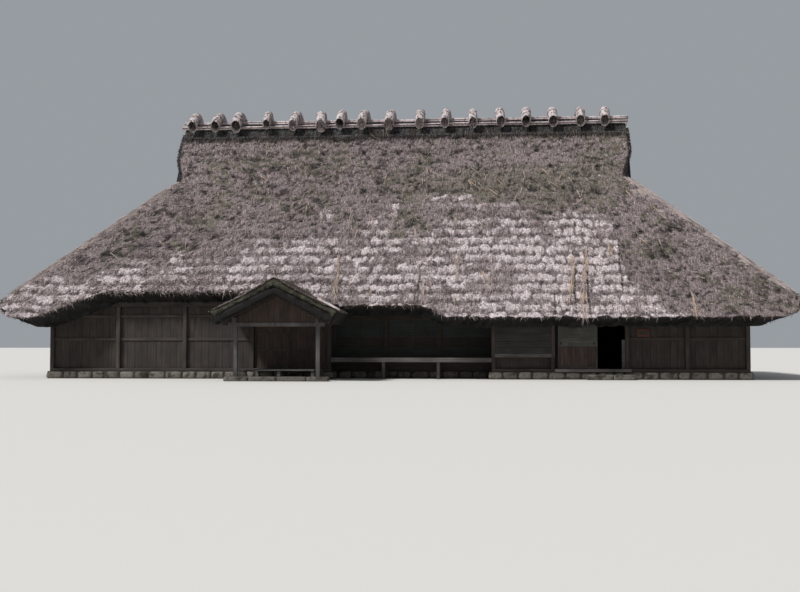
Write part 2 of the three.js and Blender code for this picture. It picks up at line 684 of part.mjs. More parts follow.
function addPorch(group, mainThatch) {
  const { postX, postY, postTop, tieBottom, tieReach, beamHalf, boardHalf } = porch;
  const { stoneTop, stoneReach, stoneHalf } = porch;
  const half = porch.postHalf;
  const pitch = Math.atan2(porch.apex - porch.eaveZ, porch.halfWidth);
  const underside = (x) => porch.apex - porch.thickness / Math.cos(pitch) - Math.abs(x) * Math.tan(pitch);
  // the porch thatch stops short of the main thatch on every side that it meets
  const cutters = [[0, -thatchClear, 0], [0, thatchClear, 0], [0, 0, -thatchClear]].map(
    ([x, y, z]) => mainThatch.clone().translate(x - porch.x, y, z));
  addPiece(group, "porch_roof_left", cut(porchSlope(-1), cutters), "thatch");
  addPiece(group, "porch_roof_right", cut(porchSlope(1), cutters), "thatch");

  const beamTop = underside(postX + beamHalf) - gap;
  const beamFront = -postY - porch.beamReach;
  const pieces = [box(-postX - tieReach, postX + tieReach, -postY - half, -postY + half, tieBottom, postTop)];
  for (const x of [-postX, postX]) {
    pieces.push(box(x - half, x + half, -postY - half, -postY + half, stoneTop + gap, postTop));
    pieces.push(box(x - beamHalf, x + beamHalf, beamFront, -outerY - gap, postTop - bite, beamTop));
  }
  addPiece(group, "porch_frame", joined(pieces), "paleTimber");

  const boardClear = 5;
  const reach = postX - beamHalf - boardClear;
  const headAt = (x) => underside(x) - bite;
  const boards = [
    [-reach, postTop + gap], [reach, postTop + gap],
    [reach, headAt(reach)], [0, headAt(0)], [-reach, headAt(reach)],
  ];
  addPiece(group, "porch_gable", wallPlate(boards, -postY - boardHalf, -postY + boardHalf), "doorBoards");
  addPiece(group, "porch_stone",
    box(-postX - stoneReach, postX + stoneReach, -postY - stoneHalf, -postY + stoneHalf, 0, stoneTop),
    "stone");

  const { deckTop, deckBoard, deckHalf, deckFront, deckLeg } = porch;
  const near = wallY + footing.half + gap;
  const legFront = -deckFront + deckLeg;
  const legTop = deckTop - deckBoard + bite;
  const deck = [box(-deckHalf, deckHalf, -deckFront, -near, deckTop - deckBoard, deckTop)];
  for (const x of [deckLeg - deckHalf, 0, deckHalf - deckLeg]) {
    deck.push(box(x - deckLeg, x + deckLeg, legFront, legFront + 2 * deckLeg, 0, legTop));
    deck.push(box(x - deckLeg, x + deckLeg, -near - 2 * deckLeg, -near, 0, legTop));
  }
  addPiece(group, "porch_floor", joined(deck), "paleTimber");
}

function buildResidence() {
  const residence = new THREE.Group();
  const parts = ["roof", "frame", "front"].map(() => new THREE.Group());
  const [roofGroup, frameGroup, frontGroup] = parts;
  residence.add(...parts);
  addThatch(roofGroup);
  addGables(roofGroup);
  addRidge(roofGroup);
  addRafterFrames(roofGroup);
  addFooting(frameGroup);
  addFrame(frameGroup);
  addWalls(frameGroup);
  addFloor(frameGroup);
  addVeranda(frontGroup);
  addShutterBox(frontGroup);
  addEntrance(frontGroup);
  const porchGroup = new THREE.Group();
  porchGroup.position.x = porch.x;
  residence.add(porchGroup);
  addPorch(porchGroup, roofGroup.getObjectByName("thatch_front").geometry);
  // the origin is the middle of the whole footprint, porch included
  residence.position.y = (porch.front - roof.eaveY) / 2;
  return residence;
}

export default buildResidence();
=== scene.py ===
import math

import bpy
import numpy as np
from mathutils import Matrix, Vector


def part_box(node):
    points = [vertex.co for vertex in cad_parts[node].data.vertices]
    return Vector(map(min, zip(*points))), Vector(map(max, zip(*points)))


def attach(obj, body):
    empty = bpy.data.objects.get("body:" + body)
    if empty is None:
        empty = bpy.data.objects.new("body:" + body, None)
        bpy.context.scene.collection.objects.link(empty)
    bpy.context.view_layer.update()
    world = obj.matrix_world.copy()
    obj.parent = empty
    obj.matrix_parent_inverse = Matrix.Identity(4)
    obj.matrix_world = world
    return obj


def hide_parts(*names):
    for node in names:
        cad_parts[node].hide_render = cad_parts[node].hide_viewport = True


# A thatched residence: worn reed thatch, straw rolls on the ridge, old boards, field stones and screens.
# Metres, +Z up, the front faces -Y. ridgeY is the line under the ridge, which the house is laid out from.

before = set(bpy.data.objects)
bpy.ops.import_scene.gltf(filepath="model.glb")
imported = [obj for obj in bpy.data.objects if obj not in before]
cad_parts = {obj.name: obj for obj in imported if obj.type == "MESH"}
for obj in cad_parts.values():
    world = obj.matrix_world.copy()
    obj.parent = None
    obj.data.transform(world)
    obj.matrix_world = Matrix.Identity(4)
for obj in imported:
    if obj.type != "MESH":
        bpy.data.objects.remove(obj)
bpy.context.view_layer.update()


def boxOf(node):
    return [np.array(corner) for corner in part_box(node)]


ridgeY = sum(boxOf("ridge_cap"))[1] / 2
gap = 0.0005        # between two pieces that lie against each other
seam = 0.001        # between parts that are set into each other


def smooth(t):
    t = np.clip(t, 0, 1)
    return t * t * (3 - 2 * t)


# How far a value has risen past a level, from 0 to 1 over a soft edge
def over(value, level, soft):
    return smooth((value - level) / soft)


def blend(a, b, t):
    return a + (b - a) * t


def unitary(vectors):
    return vectors / np.linalg.norm(vectors, axis=-1, keepdims=True)


# Angles of a ring's points
def ringAngles(sides):
    return np.linspace(0, 2 * math.pi, sides, endpoint=False)


# Soft noise from a seeded grid, from 0 to 1; size is in metres
def noise(u, v, size, seed):
    cells = 256
    grid = np.random.default_rng(seed).random((cells, cells))
    a, b = np.asarray(u) / size, np.asarray(v) / size
    i, j = np.floor(a).astype(int), np.floor(b).astype(int)
    s, t = smooth(a - i), smooth(b - j)
    low = blend(grid[i % cells, j % cells], grid[(i + 1) % cells, j % cells], s)
    high = blend(grid[i % cells, (j + 1) % cells], grid[(i + 1) % cells, (j + 1) % cells], s)
    return blend(low, high, t)


# Noise along one line only
def waver(u, size, seed):
    return noise(u, 0 * u, size, seed) - 0.5


def turnedOut(points, faces):
    a, b, c = (points[faces[:, k]] for k in range(3))
    volume = np.einsum("ij,ij->i", a, np.cross(b, c)).sum()
    return faces if volume > 0 else faces[:, ::-1]


# Makes a piece of triangles; values are numbers per point that its material reads
def addPiece(name, points, faces, material, slot, body="house", nodes=(), soft=True, **values):
    points = np.asarray(points, np.float32).reshape(-1, 3)
    faces = np.ascontiguousarray(faces, dtype=np.int32)
    mesh = bpy.data.meshes.new(name)
    mesh.vertices.add(len(points))
    mesh.vertices.foreach_set("co", points.ravel())
    mesh.loops.add(faces.size)
    mesh.loops.foreach_set("vertex_index", faces.ravel())
    mesh.polygons.add(len(faces))
    mesh.polygons.foreach_set("loop_start", np.arange(0, faces.size, 3, dtype=np.int32))
    mesh.polygons.foreach_set("use_smooth", np.full(len(faces), soft))
    for key, value in values.items():
        attribute = mesh.attributes.new(key, "FLOAT", "POINT")
        attribute.data.foreach_set("value", np.asarray(value, np.float32).ravel())
    mesh.update(calc_edges=True)
    mesh.materials.append(material)
    piece = bpy.data.objects.new(name, mesh)
    bpy.context.scene.collection.objects.link(piece)
    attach(piece, body)
    if nodes:
        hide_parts(*nodes)
    print(f"{name}: {len(faces)} triangles")


def gridFaces(index):
    a, b, c, d = index[:-1, :-1], index[:-1, 1:], index[1:, 1:], index[1:, :-1]
    return np.concatenate([np.stack(three, -1).reshape(-1, 3) for three in ((a, b, c), (a, c, d))])


# Closes the strip between two lines of vertices that share both ends
def strip(first, second):
    faces = []
    i = j = 0
    while i < len(first) - 1 or j < len(second) - 1:
        behind = (i + 1) * (len(second) - 1) <= (j + 1) * (len(first) - 1)
        if j == len(second) - 1 or (i < len(first) - 1 and behind):
            faces.append((first[i], first[i + 1], second[j]))
            i += 1
        else:
            faces.append((first[i], second[j + 1], second[j]))
            j += 1
    return np.array(faces)


# A tube through rings of points, its ends closed with a fan
def tube(rings):
    count, sides = rings.shape[:2]
    index = np.arange(count * sides).reshape(count, sides)
    faces = [gridFaces(np.concatenate([index, index[:, :1]], 1))]
    for ring, centre, way in ((index[0], count * sides, 1), (index[-1], count * sides + 1, -1)):
        fan = np.stack([np.full(sides, centre), np.roll(ring, -1), ring], 1)
        faces.append(fan[:, ::way])
    points = np.concatenate([rings.reshape(-1, 3), [rings[0].mean(0), rings[-1].mean(0)]])
    return points, turnedOut(points, np.concatenate(faces))


def merged(parts):
    points, faces, start = [], [], 0
    for somePoints, someFaces in parts:
        points.append(somePoints)
        faces.append(someFaces + start)
        start += len(somePoints)
    return np.concatenate(points), np.concatenate(faces)


def linear(hexColour):
    value = [int(hexColour[k:k + 2], 16) / 255 for k in (1, 3, 5)]
    return [c / 12.92 if c <= 0.04045 else ((c + 0.055) / 1.055) ** 2.4 for c in value] + [1]


# Adds a node with its settings and links, and gives back one of its outputs
def addNode(tree, kind, inputs=None, out=0, stops=(), **settings):
    node = tree.nodes.new("ShaderNode" + kind)
    for key, value in settings.items():
        setattr(node, key, value)
    for _ in stops[2:]:
        node.color_ramp.elements.new(0.5)
    for number, (place, colour) in enumerate(stops):
        node.color_ramp.elements[number].position = place
        node.color_ramp.elements[number].color = linear(colour)
    for key, value in (inputs or {}).items():
        if isinstance(value, bpy.types.NodeSocket):
            tree.links.new(value, node.inputs[key])
        else:
            node.inputs[key].default_value = value
    return node.outputs[out]


mixing = {"out": 2, "data_type": "RGBA"}        # settings of a node that mixes colours
tinting = {**mixing, "blend_type": "MULTIPLY"}


def newMaterial(name, roughness, ior):
    material = bpy.data.materials.new(name)
    material.use_nodes = True
    shader = material.node_tree.nodes["Principled BSDF"]
    shader.inputs["Roughness"].default_value = roughness
    shader.inputs["IOR"].default_value = ior
    return material, material.node_tree


# Links a material's colour and its bumps, the coarsest first, each as height, strength and depth
def finish(material, colour, *bumps):
    tree = material.node_tree
    shader = tree.nodes["Principled BSDF"]
    tree.links.new(colour, shader.inputs["Base Color"])
    below = {}
    for height, strength, depth in bumps:
        bump = addNode(tree, "Bump", {"Height": height, "Strength": strength, "Distance": depth, **below})
        below = {"Normal": bump}
    if bumps:
        tree.links.new(bump, shader.inputs["Normal"])
    return material


# Scale of a pattern from its real size in millimetres
def perMetre(*sizesMm):
    return [1000 / size for size in sizesMm]


# Reed thatch, cut and left to age: it has no gloss, its cut ends bleach to lilac grey, moss fills the shade
reedLook = {
    "aged": [(0.34, "#494141"), (0.6, "#908180"), (0.76, "#b8aaa5")],
    "bleached": [(0.3, "#8a7e7e"), (0.55, "#c8bbbc"), (0.75, "#dbd0d0")],
    "moss": [(0.3, "#343530"), (0.7, "#6e6a4f")],
    # colour of painted shade: gaps between bundles, splits, under ledges, beside the gables, the eave's cut
    # face and underside
    "hollow": "#110f0e",
    "crumbMm": 62,          # broken reed ends lie in crumbs of about this size
    "patchMm": 588.2,       # how far the bleaching spreads evenly
    "stemMm": (22, 260),    # a reed is 6 mm wide, drawn as bundles of three or four so that it shows
    "bump": 0.7,
    # where the crumbs let each area begin and where it is full
    "edges": {"bleach": (0.55, 1.17), "mossy": (0.6, 1.3), "hollow": (0.55, 1.35)},
}


def agedReed():
    look = reedLook
    material, tree = newMaterial("agedReedThatch", 0.95, 1.45)
    value = {name: addNode(tree, "Attribute", out="Fac", attribute_name=name)
             for name in ("across", "along", "bleach", "mossy", "hollow")}
    place = addNode(tree, "CombineXYZ", {0: value["across"], 1: value["along"]})
    fine = addNode(tree, "Mapping", {"Vector": place, "Scale": (*perMetre(*look["stemMm"]), 1)})
    stems = addNode(tree, "TexNoise", {"Vector": fine, "Scale": 1, "Detail": 3, "Roughness": 0.6})
    patches = addNode(tree, "TexNoise", {"Vector": place, "Scale": 1000 / look["patchMm"], "Detail": 4})
    crumbs = addNode(tree, "TexNoise", {"Vector": place, "Scale": 1000 / look["crumbMm"], "Detail": 5,
                                        "Roughness": 0.7})
    crumbShade = addNode(tree, "MapRange", {0: crumbs, 1: 0.34, 2: 0.66, 3: 0.36, 4: 1.7})
    spread = addNode(tree, "MapRange", {0: patches, 1: 0.3, 2: 0.7, 3: 0.6, 4: 1.2})
    shown = {}
    for area, (low, high) in look["edges"].items():
        broken = addNode(tree, "Math", {0: crumbs, 1: 0.9, 2: value[area]}, operation="MULTIPLY_ADD")
        shown[area] = addNode(tree, "MapRange", {0: broken, 1: low, 2: high})
    bleach = addNode(tree, "Math", {0: shown["bleach"], 1: spread}, operation="MULTIPLY", use_clamp=True)
    brown, pale, moss = (addNode(tree, "ValToRGB", {0: stems}, stops=look[name])
                         for name in ("aged", "bleached", "moss"))
    colour = addNode(tree, "Mix", {0: shown["mossy"], 6: brown, 7: moss}, **mixing)
    colour = addNode(tree, "Mix", {0: bleach, 6: colour, 7: pale}, **mixing)
    # painted shade: the slope's shade value mixes in the near-black colour
    colour = addNode(tree, "Mix", {0: shown["hollow"], 6: colour, 7: linear(look["hollow"])}, **mixing)
    colour = addNode(tree, "Mix", {0: 1, 6: colour, 7: crumbShade}, **tinting)
    return finish(material, colour, (crumbs, look["bump"], 0.05), (stems, look["bump"], 0.02))


# Loose straw, dry and a little glossy, from dark brown through grey to fresh yellow; its near-black end is
# painted shade for straws on shaded faces
looseStrawTones = [(0, "#120f0d"), (0.3, "#50463f"), (0.55, "#857870"), (0.75, "#b3a7a7"), (0.9, "#b8a596"),
                   (1, "#bfa185")]


def looseStraw():
    material, tree = newMaterial("looseStraw", 0.8, 1.5)
    tone = addNode(tree, "Attribute", out="Fac", attribute_name="tone")
    colour = addNode(tree, "ValToRGB", {0: tone}, stops=looseStrawTones)
    speckMm = 33.3
    speck = addNode(tree, "TexNoise", {"Vector": addNode(tree, "TexCoord", out="Object"),
                                       "Scale": 1000 / speckMm, "Detail": 2})
    shade = addNode(tree, "MapRange", {0: speck, 3: 0.75, 4: 1.25})
    return finish(material, addNode(tree, "Mix", {0: 1, 6: colour, 7: shade}, **tinting))


# Sawn wood that was never painted: matt, its grain raised by the weather, each board a little different.
# Colours of the grain from dark to light, the axis it runs along, and for some its width in mm and roughness.
woods = {
    # sawn cedar posts and rails, nearly black with soot and rain
    "weatheredDarkCedar": ("#1b1714", "#352d28", "#50463f", "z"),
    "weatheredDarkCedarAlongX": ("#1b1714", "#352d28", "#50463f", "x"),
    "weatheredDarkCedarAlongY": ("#1b1714", "#352d28", "#50463f", "y"),
    # planed cedar that the sun has greyed, darkened as painted shade where it stands under the eaves
    "bleachedCedarAlongX": ("#343130", "#514d4b", "#6d6866", "x"),
    "bleachedCedarUpright": ("#393533", "#544f4d", "#6e6967", "z"),
    # wide sawn boards, brown under soot and darkened further as painted shade of the eaves; the darker copy
    # along X is painted deeper shade behind the veranda; those under the verge are dustier
    "weatheredWallBoards": ("#171310", "#2f2722", "#493e38", "z"),
    "paintedShadeBoardsAlongX": ("#171310", "#2a2320", "#3d342f", "x"),
    "sootedGableBoards": ("#241f1c", "#3e3631", "#5b5049", "z"),
    # planed boards: still brown, greyed by what is left of a coat of paint, grey with dust, and stained red;
    # all darkened as painted shade of the eave, the shutter's most
    "weatheredDoorBoards": ("#231a16", "#3b2d27", "#54443c", "z"),
    "paintWornDoorBoard": ("#32312e", "#4a4943", "#62615a", "x"),
    "greyShutterBoards": ("#161514", "#272524", "#3d3938", "x"),
    "reddishPlateBoard": ("#2e1a15", "#47291f", "#573629", "x"),
    # thin planed panels, grey-green with dust, darkened as painted shade of the veranda
    "dustyScreenPanels": ("#191e1c", "#272e2c", "#38413f", "x"),
    # not wood, but grained like it: twisted straw in strands, tamped earth in lumps, hammered iron under rust
    "oldStrawRope": ("#3a312a", "#6e5f52", "#8d7c6b", "x", 10),
    "packedEarth": ("#1c1815", "#2d2723", "#403832", "x", 40),
    "rustedIronPull": ("#141110", "#241d1a", "#3a2c25", "z", 3, 0.6),
}


def sawnWood(name, dark, middle, light, axis, grainMm=14, roughness=0.82):
    material, tree = newMaterial(name, roughness, 1.5)
    lengthMm, stainMm, uneven = 833.3, 625, 0.35
    scale = perMetre(grainMm, grainMm, grainMm)
    scale["xyz".index(axis)] = 1000 / lengthMm
    place = addNode(tree, "TexCoord", out="Object")
    board = addNode(tree, "Attribute", out="Fac", attribute_name="board")
    shift = addNode(tree, "Math", {0: board, 1: 37.0}, operation="MULTIPLY")    # no two boards share a grain
    moved = addNode(tree, "VectorMath", {0: place, 1: shift}, operation="ADD")
    stretched = addNode(tree, "Mapping", {"Vector": moved, "Scale": scale})
    grain = addNode(tree, "TexNoise", {"Vector": stretched, "Scale": 1, "Detail": 4, "Roughness": 0.65,
                                       "Distortion": 0.4})
    stain = addNode(tree, "TexNoise", {"Vector": moved, "Scale": 1000 / stainMm, "Detail": 3})
    colour = addNode(tree, "ValToRGB", {0: grain}, stops=[(0.28, dark), (0.52, middle), (0.74, light)])
    spread = addNode(tree, "MapRange", {0: stain, 1: 0.3, 2: 0.7, 3: 1 - uneven, 4: 1 + uneven})
    each = addNode(tree, "MapRange", {0: board, 3: 1 - uneven / 2, 4: 1 + uneven / 2})
    for shade in (spread, each):
        colour = addNode(tree, "Mix", {0: 1, 6: colour, 7: shade}, **tinting)
    return finish(material, colour, (grain, 0.5, 0.004))


wood = {name: sawnWood(name, *look) for name, look in woods.items()}


# Thatch: the roof's form, as the frame has it
roofForm = {
    "pitch": math.radians(51.3), "endPitch": math.radians(41.2), "thickness": 0.5,
    "eaveX": 14.32, "rafterX": 13.3, "rafterPitch": math.radians(46.9),
    "eaveZ": 2.07, "gableZ": 7.25,
    "eaveCorner": 0.6, "gableCorner": 0.3, "vergeCorner": 0.12, "cornerSteps": 8,
    "vergeFoot": 8.27, "vergeFlare": 0.33, "vergeReach": 1.2,
    # rises of the eave: height, where each starts and over which width, and where the left one ends
    "middleRise": (0.4, 2.2, 1.3), "leftRise": (0.46, -2.6, 0.9), "leftEnd": (-10.5, 1.8),
    "endRise": (0.48, 12.7, 1.62), "innerCorner": 0.06,
    "courses": [3.4, 4.25, 5.1, 5.95, 6.8, 7.65, 8.5], "courseDepth": 0.055, "lip": 0.03,
}
eaveY = boxOf("thatch_back")[1][1] - ridgeY
topZ = boxOf("thatch_front")[1][2]
capTop = boxOf("ridge_cap")[1][2]


def lengthAt(z):
    f = roofForm
    flared = f["vergeFoot"] + f["vergeFlare"] * over(z, f["gableZ"], f["vergeReach"])
    return np.where(z > f["gableZ"], flared, f["eaveX"] - (z - f["eaveZ"]) / math.tan(f["endPitch"]))


def depthAt(z):
    return eaveY - (z - roofForm["eaveZ"]) / math.tan(roofForm["pitch"])


def cornerAt(z):
    f = roofForm
    low = blend(f["eaveCorner"], f["gableCorner"], (z - f["eaveZ"]) / (f["gableZ"] - f["eaveZ"]))
    return np.where(z > f["gableZ"], f["vergeCorner"], low)


def eaveHeight(x, y):
    f = roofForm
    rise, start, width = f["endRise"]
    ends = rise * over(np.abs(x), start, width)
    front = sum(rise * over(-x, -start, width) for rise, start, width in (f["middleRise"], f["leftRise"]))
    start, width = f["leftEnd"]
    return f["eaveZ"] + np.where(y < 0, front * (1 - over(-x, -start, width)), 0) + ends


# One point of a slope. along is x on the long slopes and y on the ends; turn is the angle round the corner.
def roofPoint(along, side, t, turn, z, inner=False):
    f = roofForm
    radius = cornerAt(z)
    x, y = lengthAt(z), depthAt(z)
    if inner:
        spread = f["innerCorner"] * np.abs(turn - math.pi / 4) / (math.pi / 4)
        rafter = f["rafterX"] - (z - f["eaveZ"]) / math.tan(f["rafterPitch"])
        x = np.where(z > f["gableZ"], x - 0.3 * radius, rafter - f["thickness"] / math.sin(f["rafterPitch"]))
        y = np.maximum(0.0003, y - f["thickness"] / math.sin(f["pitch"]))
        x, y = (x - spread, y) if along == "x" else (x, y - spread)
    else:
        x = x - radius * (1 - np.sin(turn))
        y = y - radius * (1 - np.cos(turn))
    if along == "x":
        return np.stack([t * x, side * y + 0 * x, z + 0 * x], -1)
    return np.stack([side * x + 0 * y, t * y, z + 0 * y], -1)


# How far a place lies behind the lip of its course
def recessAt(z):
    f = roofForm
    starts = np.array([f["eaveZ"], *(edge + f["lip"] for edge in f["courses"])])
    ends = np.array([*f["courses"], np.inf])
    last = len(f["courses"])
    row = np.clip(np.searchsorted(starts, z, side="right") - 1, 0, last)
    rise = (z - starts[row]) / (ends[row] - starts[row])
    drop = (starts[np.minimum(row + 1, last)] - z) / f["lip"]
    return np.where(row == last, 0, f["courseDepth"] * np.clip(np.minimum(rise, drop), 0, 1))


thatchLook = {
    "course": 0.34,            # height of one course of bundles
    "bundle": 0.205,           # width of one bundle's worn end
    "bundleWide": (0.54, 0.86), "bundleTall": (0.36, 0.56),     # shares of the two that the ends take up
    "bundleOut": 0.055,         # how far its end stands out
    "bundleEdge": (0.66, 0.24), # where its end begins to round off, and over which share of it
    "bundleShift": (0.5, 0.3),  # shares by which single bundles are out of line, across and up
    # how the bundles and their courses waver: how far, size of the waves and a seed
    "wavesAcross": ((0.07, 0.17, 21), (0.06, 0.08, 22)), "wavesUp": ((0.07, 0.21, 23),),
    "courseWaves": ((0.17, 2.6, 1), (0.08, 0.7, 2)), "levelWaves": ((0.16, 1.9, 31), (0.1, 0.4, 32)),
    "shag": 0.03,               # small unevenness everywhere
    "ragged": 0.09,             # how much the eave's edge wavers
    "ledge": 0.04,              # slipped ledges in the upper thatch
    # upper edge of the bleached patch of the front, as X and Z, and that of the other sides
    "patchX": [-13.4, -9, -4, -2, -1.2, -0.6, 0.1, 1.2, 3, 5, 6.5, 7.6, 7.9, 8.7, 9.0, 10.4, 11.2],
    "patchZ": [3.6, 4.4, 5.0, 5.3, 5.4, 6.3, 5.6, 5.6, 6.0, 5.7, 5.9, 5.8, 3.5, 3.3, 2.3, 2.1, 1.6],
    "patchElsewhere": 1.5,
    # bleached islands above it, as X, Z, half width and half height
    "islands": [(-0.17, 5.95, 0.25, 0.45), (1.9, 6.35, 0.7, 0.25), (-2.5, 5.85, 0.22, 0.25),
                (3.4, 6.1, 0.9, 0.15)],
    "whole": (7.1, 3.8, 0.5, 0.7),  # middle and half sizes of the part of the patch with no worn spots
    "green": (4.3, 6.9, 3.4, 0.9),  # and of the part that moss tints
    "rim": (1.5, 9.6, 1.5, 2.42),   # bleached edge of the eave: from X to X, how softly, and up to which Z
    # narrow splits, as X, lowest and highest Z
    "splits": [(6.18, 2.2, 4.5), (6.62, 2.1, 4.4), (7.75, 2.9, 4.9), (5.5, 2.1, 3.0), (1.0, 2.5, 3.6)],
    "splitWidth": 0.04, "splitDepth": 0.07,
    "vergeWidth": 0.19,         # the edge beside the gables, painted dark as its shade
    # kinds of unevenness: size in metres, how much flatter than wide, and a seed
    "kinds": {"fringe": (0.6, 1, 3), "shag": (0.3, 1, 6), "ledge": (0.2, 1.9, 8), "moss": (1.1, 1, 9),
              "crumb": (0.13, 1.3, 13), "flaky": (0.14, 1.2, 15), "shade": (1.9, 1, 17),
              "bald": (0.75, 1.6, 45)},
}


# Several sizes of noise added up, pulled about by a coarser one so that no grid shows
def rough(u, v, size, flat, seed):
    pullU, pullV = noise(u, v, size * 2.1, seed) - 0.5, noise(u, v, size * 1.7, seed + 1) - 0.5
    a, b = u + size * 1.5 * pullU, (v + size * 1.1 * pullV) * flat
    shares = ((0.5, 1, 2), (0.3, 0.47, 3), (0.2, 0.23, 4))      # weight, size and seed of each
    return sum(weight * noise(a, b, size * finer, seed + own) for weight, finer, own in shares)


# Courses of bundles: how far each place stands out, and a number of each bundle's own
def bundles(u, z, seed):
    look = thatchLook
    rows, columns = 64, 256
    own = np.random.default_rng(seed).random((5, rows, columns))
    a, b = u, z
    for far, size, extra in look["wavesAcross"]:
        a = a + far * (noise(u, z, size, seed + extra) - 0.5)
    for far, size, extra in look["wavesUp"]:
        b = b + far * (noise(u, z, size, seed + extra) - 0.5)
    for far, size, extra in look["courseWaves"]:
        b = b + far * (waver(u, size, seed + extra) + 0.5)
    b = b / look["course"]
    row = np.floor(b).astype(int)
    place = a / look["bundle"] + 100
    best, kind = np.full(u.shape, 9.0), np.zeros(u.shape)
    for step in (-1, 0, 1):
        for lift in (-1, 0, 1):
            c, r = np.floor(place).astype(int) + step, row + lift
            shiftX, wide, tall, shiftZ, number = own[:, r % rows, c % columns]
            centre = c + 0.5 + look["bundleShift"][0] * (shiftX - 0.5) + 0.5 * (r % 2)
            across = (place - centre) / blend(*look["bundleWide"], wide)
            up = b - row - lift - 0.45 - look["bundleShift"][1] * (shiftZ - 0.5)
            up = up / blend(*look["bundleTall"], tall)
            away = np.hypot(across, up)
            nearer = away < best
            best, kind = np.where(nearer, away, best), np.where(nearer, number, kind)
    return 1 - over(best, *look["bundleEdge"]), kind


# How deep each place of a slope lies, how bleached or mossy it is, and how much painted shade it gets
def onThatch(points, along, u, z, seed, worn):
    look = thatchLook
    x = points[..., 0]
    grade = {kind: rough(u, z, size, flat, seed + own) for kind, (size, flat, own) in look["kinds"].items()}

    def within(place):
        middleX, middleZ, wide, tall = place
        return np.hypot((x - middleX) / wide, (z - middleZ) / tall)

    patch = np.interp(x, look["patchX"], look["patchZ"]) if worn else np.full_like(x, look["patchElsewhere"])
    fringe = 1.1 * (grade["fringe"] - 0.5) + 0.9 * (noise(u, z, 2.2, seed + 4) - 0.5)
    patchy = over(patch + fringe, z, 0.8)
    bald = over(grade["bald"], 0.5, 0.1)
    if worn:
        for island in look["islands"]:
            edge = 0.8 * (noise(u, z, 0.2, seed + 51) - 0.5)
            patchy = np.maximum(patchy, smooth(1.6 - within(island) + edge))
        bald = bald * (1 - smooth(1.8 - within(look["whole"])))
    out, kind = bundles(u, z, seed)
    end = out * blend(0.35, 1.0, kind) * blend(0.4, 1, over(grade["flaky"], 0.38, 0.16))
    bleach = patchy * (1 - 0.75 * bald) * (end + 0.3)
    if worn:
        start, stop, soft, height = look["rim"]
        rim = over(x, start, soft) * over(-x, -stop, soft) * over(-z, -height, 0.2)
        bleach = np.maximum(bleach, rim * (0.15 + 0.8 * out))
    stands = blend(0.3, 1.15, patchy) * (1 - 0.5 * bald)
    level = z
    for far, size, extra in look["levelWaves"]:
        level = level + far * waver(u, size, seed + extra)
    drop = recessAt(level) * blend(1, 0.5, patchy)
    drop = drop + look["bundleOut"] * stands * (1 - out) + look["shag"] * grade["shag"]
    drop = drop + look["ledge"] * (1 - patchy) * over(grade["ledge"], 0.5, 0.22)
    # painted shade under slipped ledges, among the crumbs and in the gaps between the bundles' ends
    hollow = 0.55 * (1 - patchy) * over(grade["ledge"], 0.56, 0.12)
    hollow = hollow + 0.36 * over(grade["crumb"], 0.54, 0.12) * (1 - bleach)
    hollow = np.clip(hollow + 0.4 * patchy * over(-out, -0.25, 0.25) * blend(0.5, 1, kind), 0, 0.9)
    if worn:
        # the splits sink in and are painted dark, as shade in them
        for place, low, high in look["splits"]:
            wander = place + 0.12 * waver(z, 0.5, 91)
            near = smooth(1 - np.abs(x - wander) / look["splitWidth"])
            near = near * over(z, low, 0.1) * over(-z, -high, 0.1)
            drop = drop + look["splitDepth"] * near
            hollow = np.maximum(hollow, near)
    mossy = over(grade["moss"], 0.47, 0.12) * over(grade["crumb"], 0.3, 0.25)
    if worn:
        mossy = np.maximum(mossy, 0.9 * smooth(1.6 - within(look["green"])) * (0.4 + grade["shag"]))
    mossy = mossy * (1 - 0.85 * patchy) * 0.6
    hollow = np.clip(hollow + 0.16 * over(grade["shade"], 0.46, 0.16) * (1 - patchy), 0, 0.9)
    if along == "x":
        # painted shade on the rounded edge beside the gables
        verge = over(z, roofForm["gableZ"], 0.15) * over(np.abs(x), lengthAt(z) - look["vergeWidth"], 0.07)
        hollow = np.maximum(hollow, 0.85 * verge)
    return drop, {"bleach": np.clip(bleach * (1 - hollow), 0, 1), "hollow": hollow, "mossy": mossy}


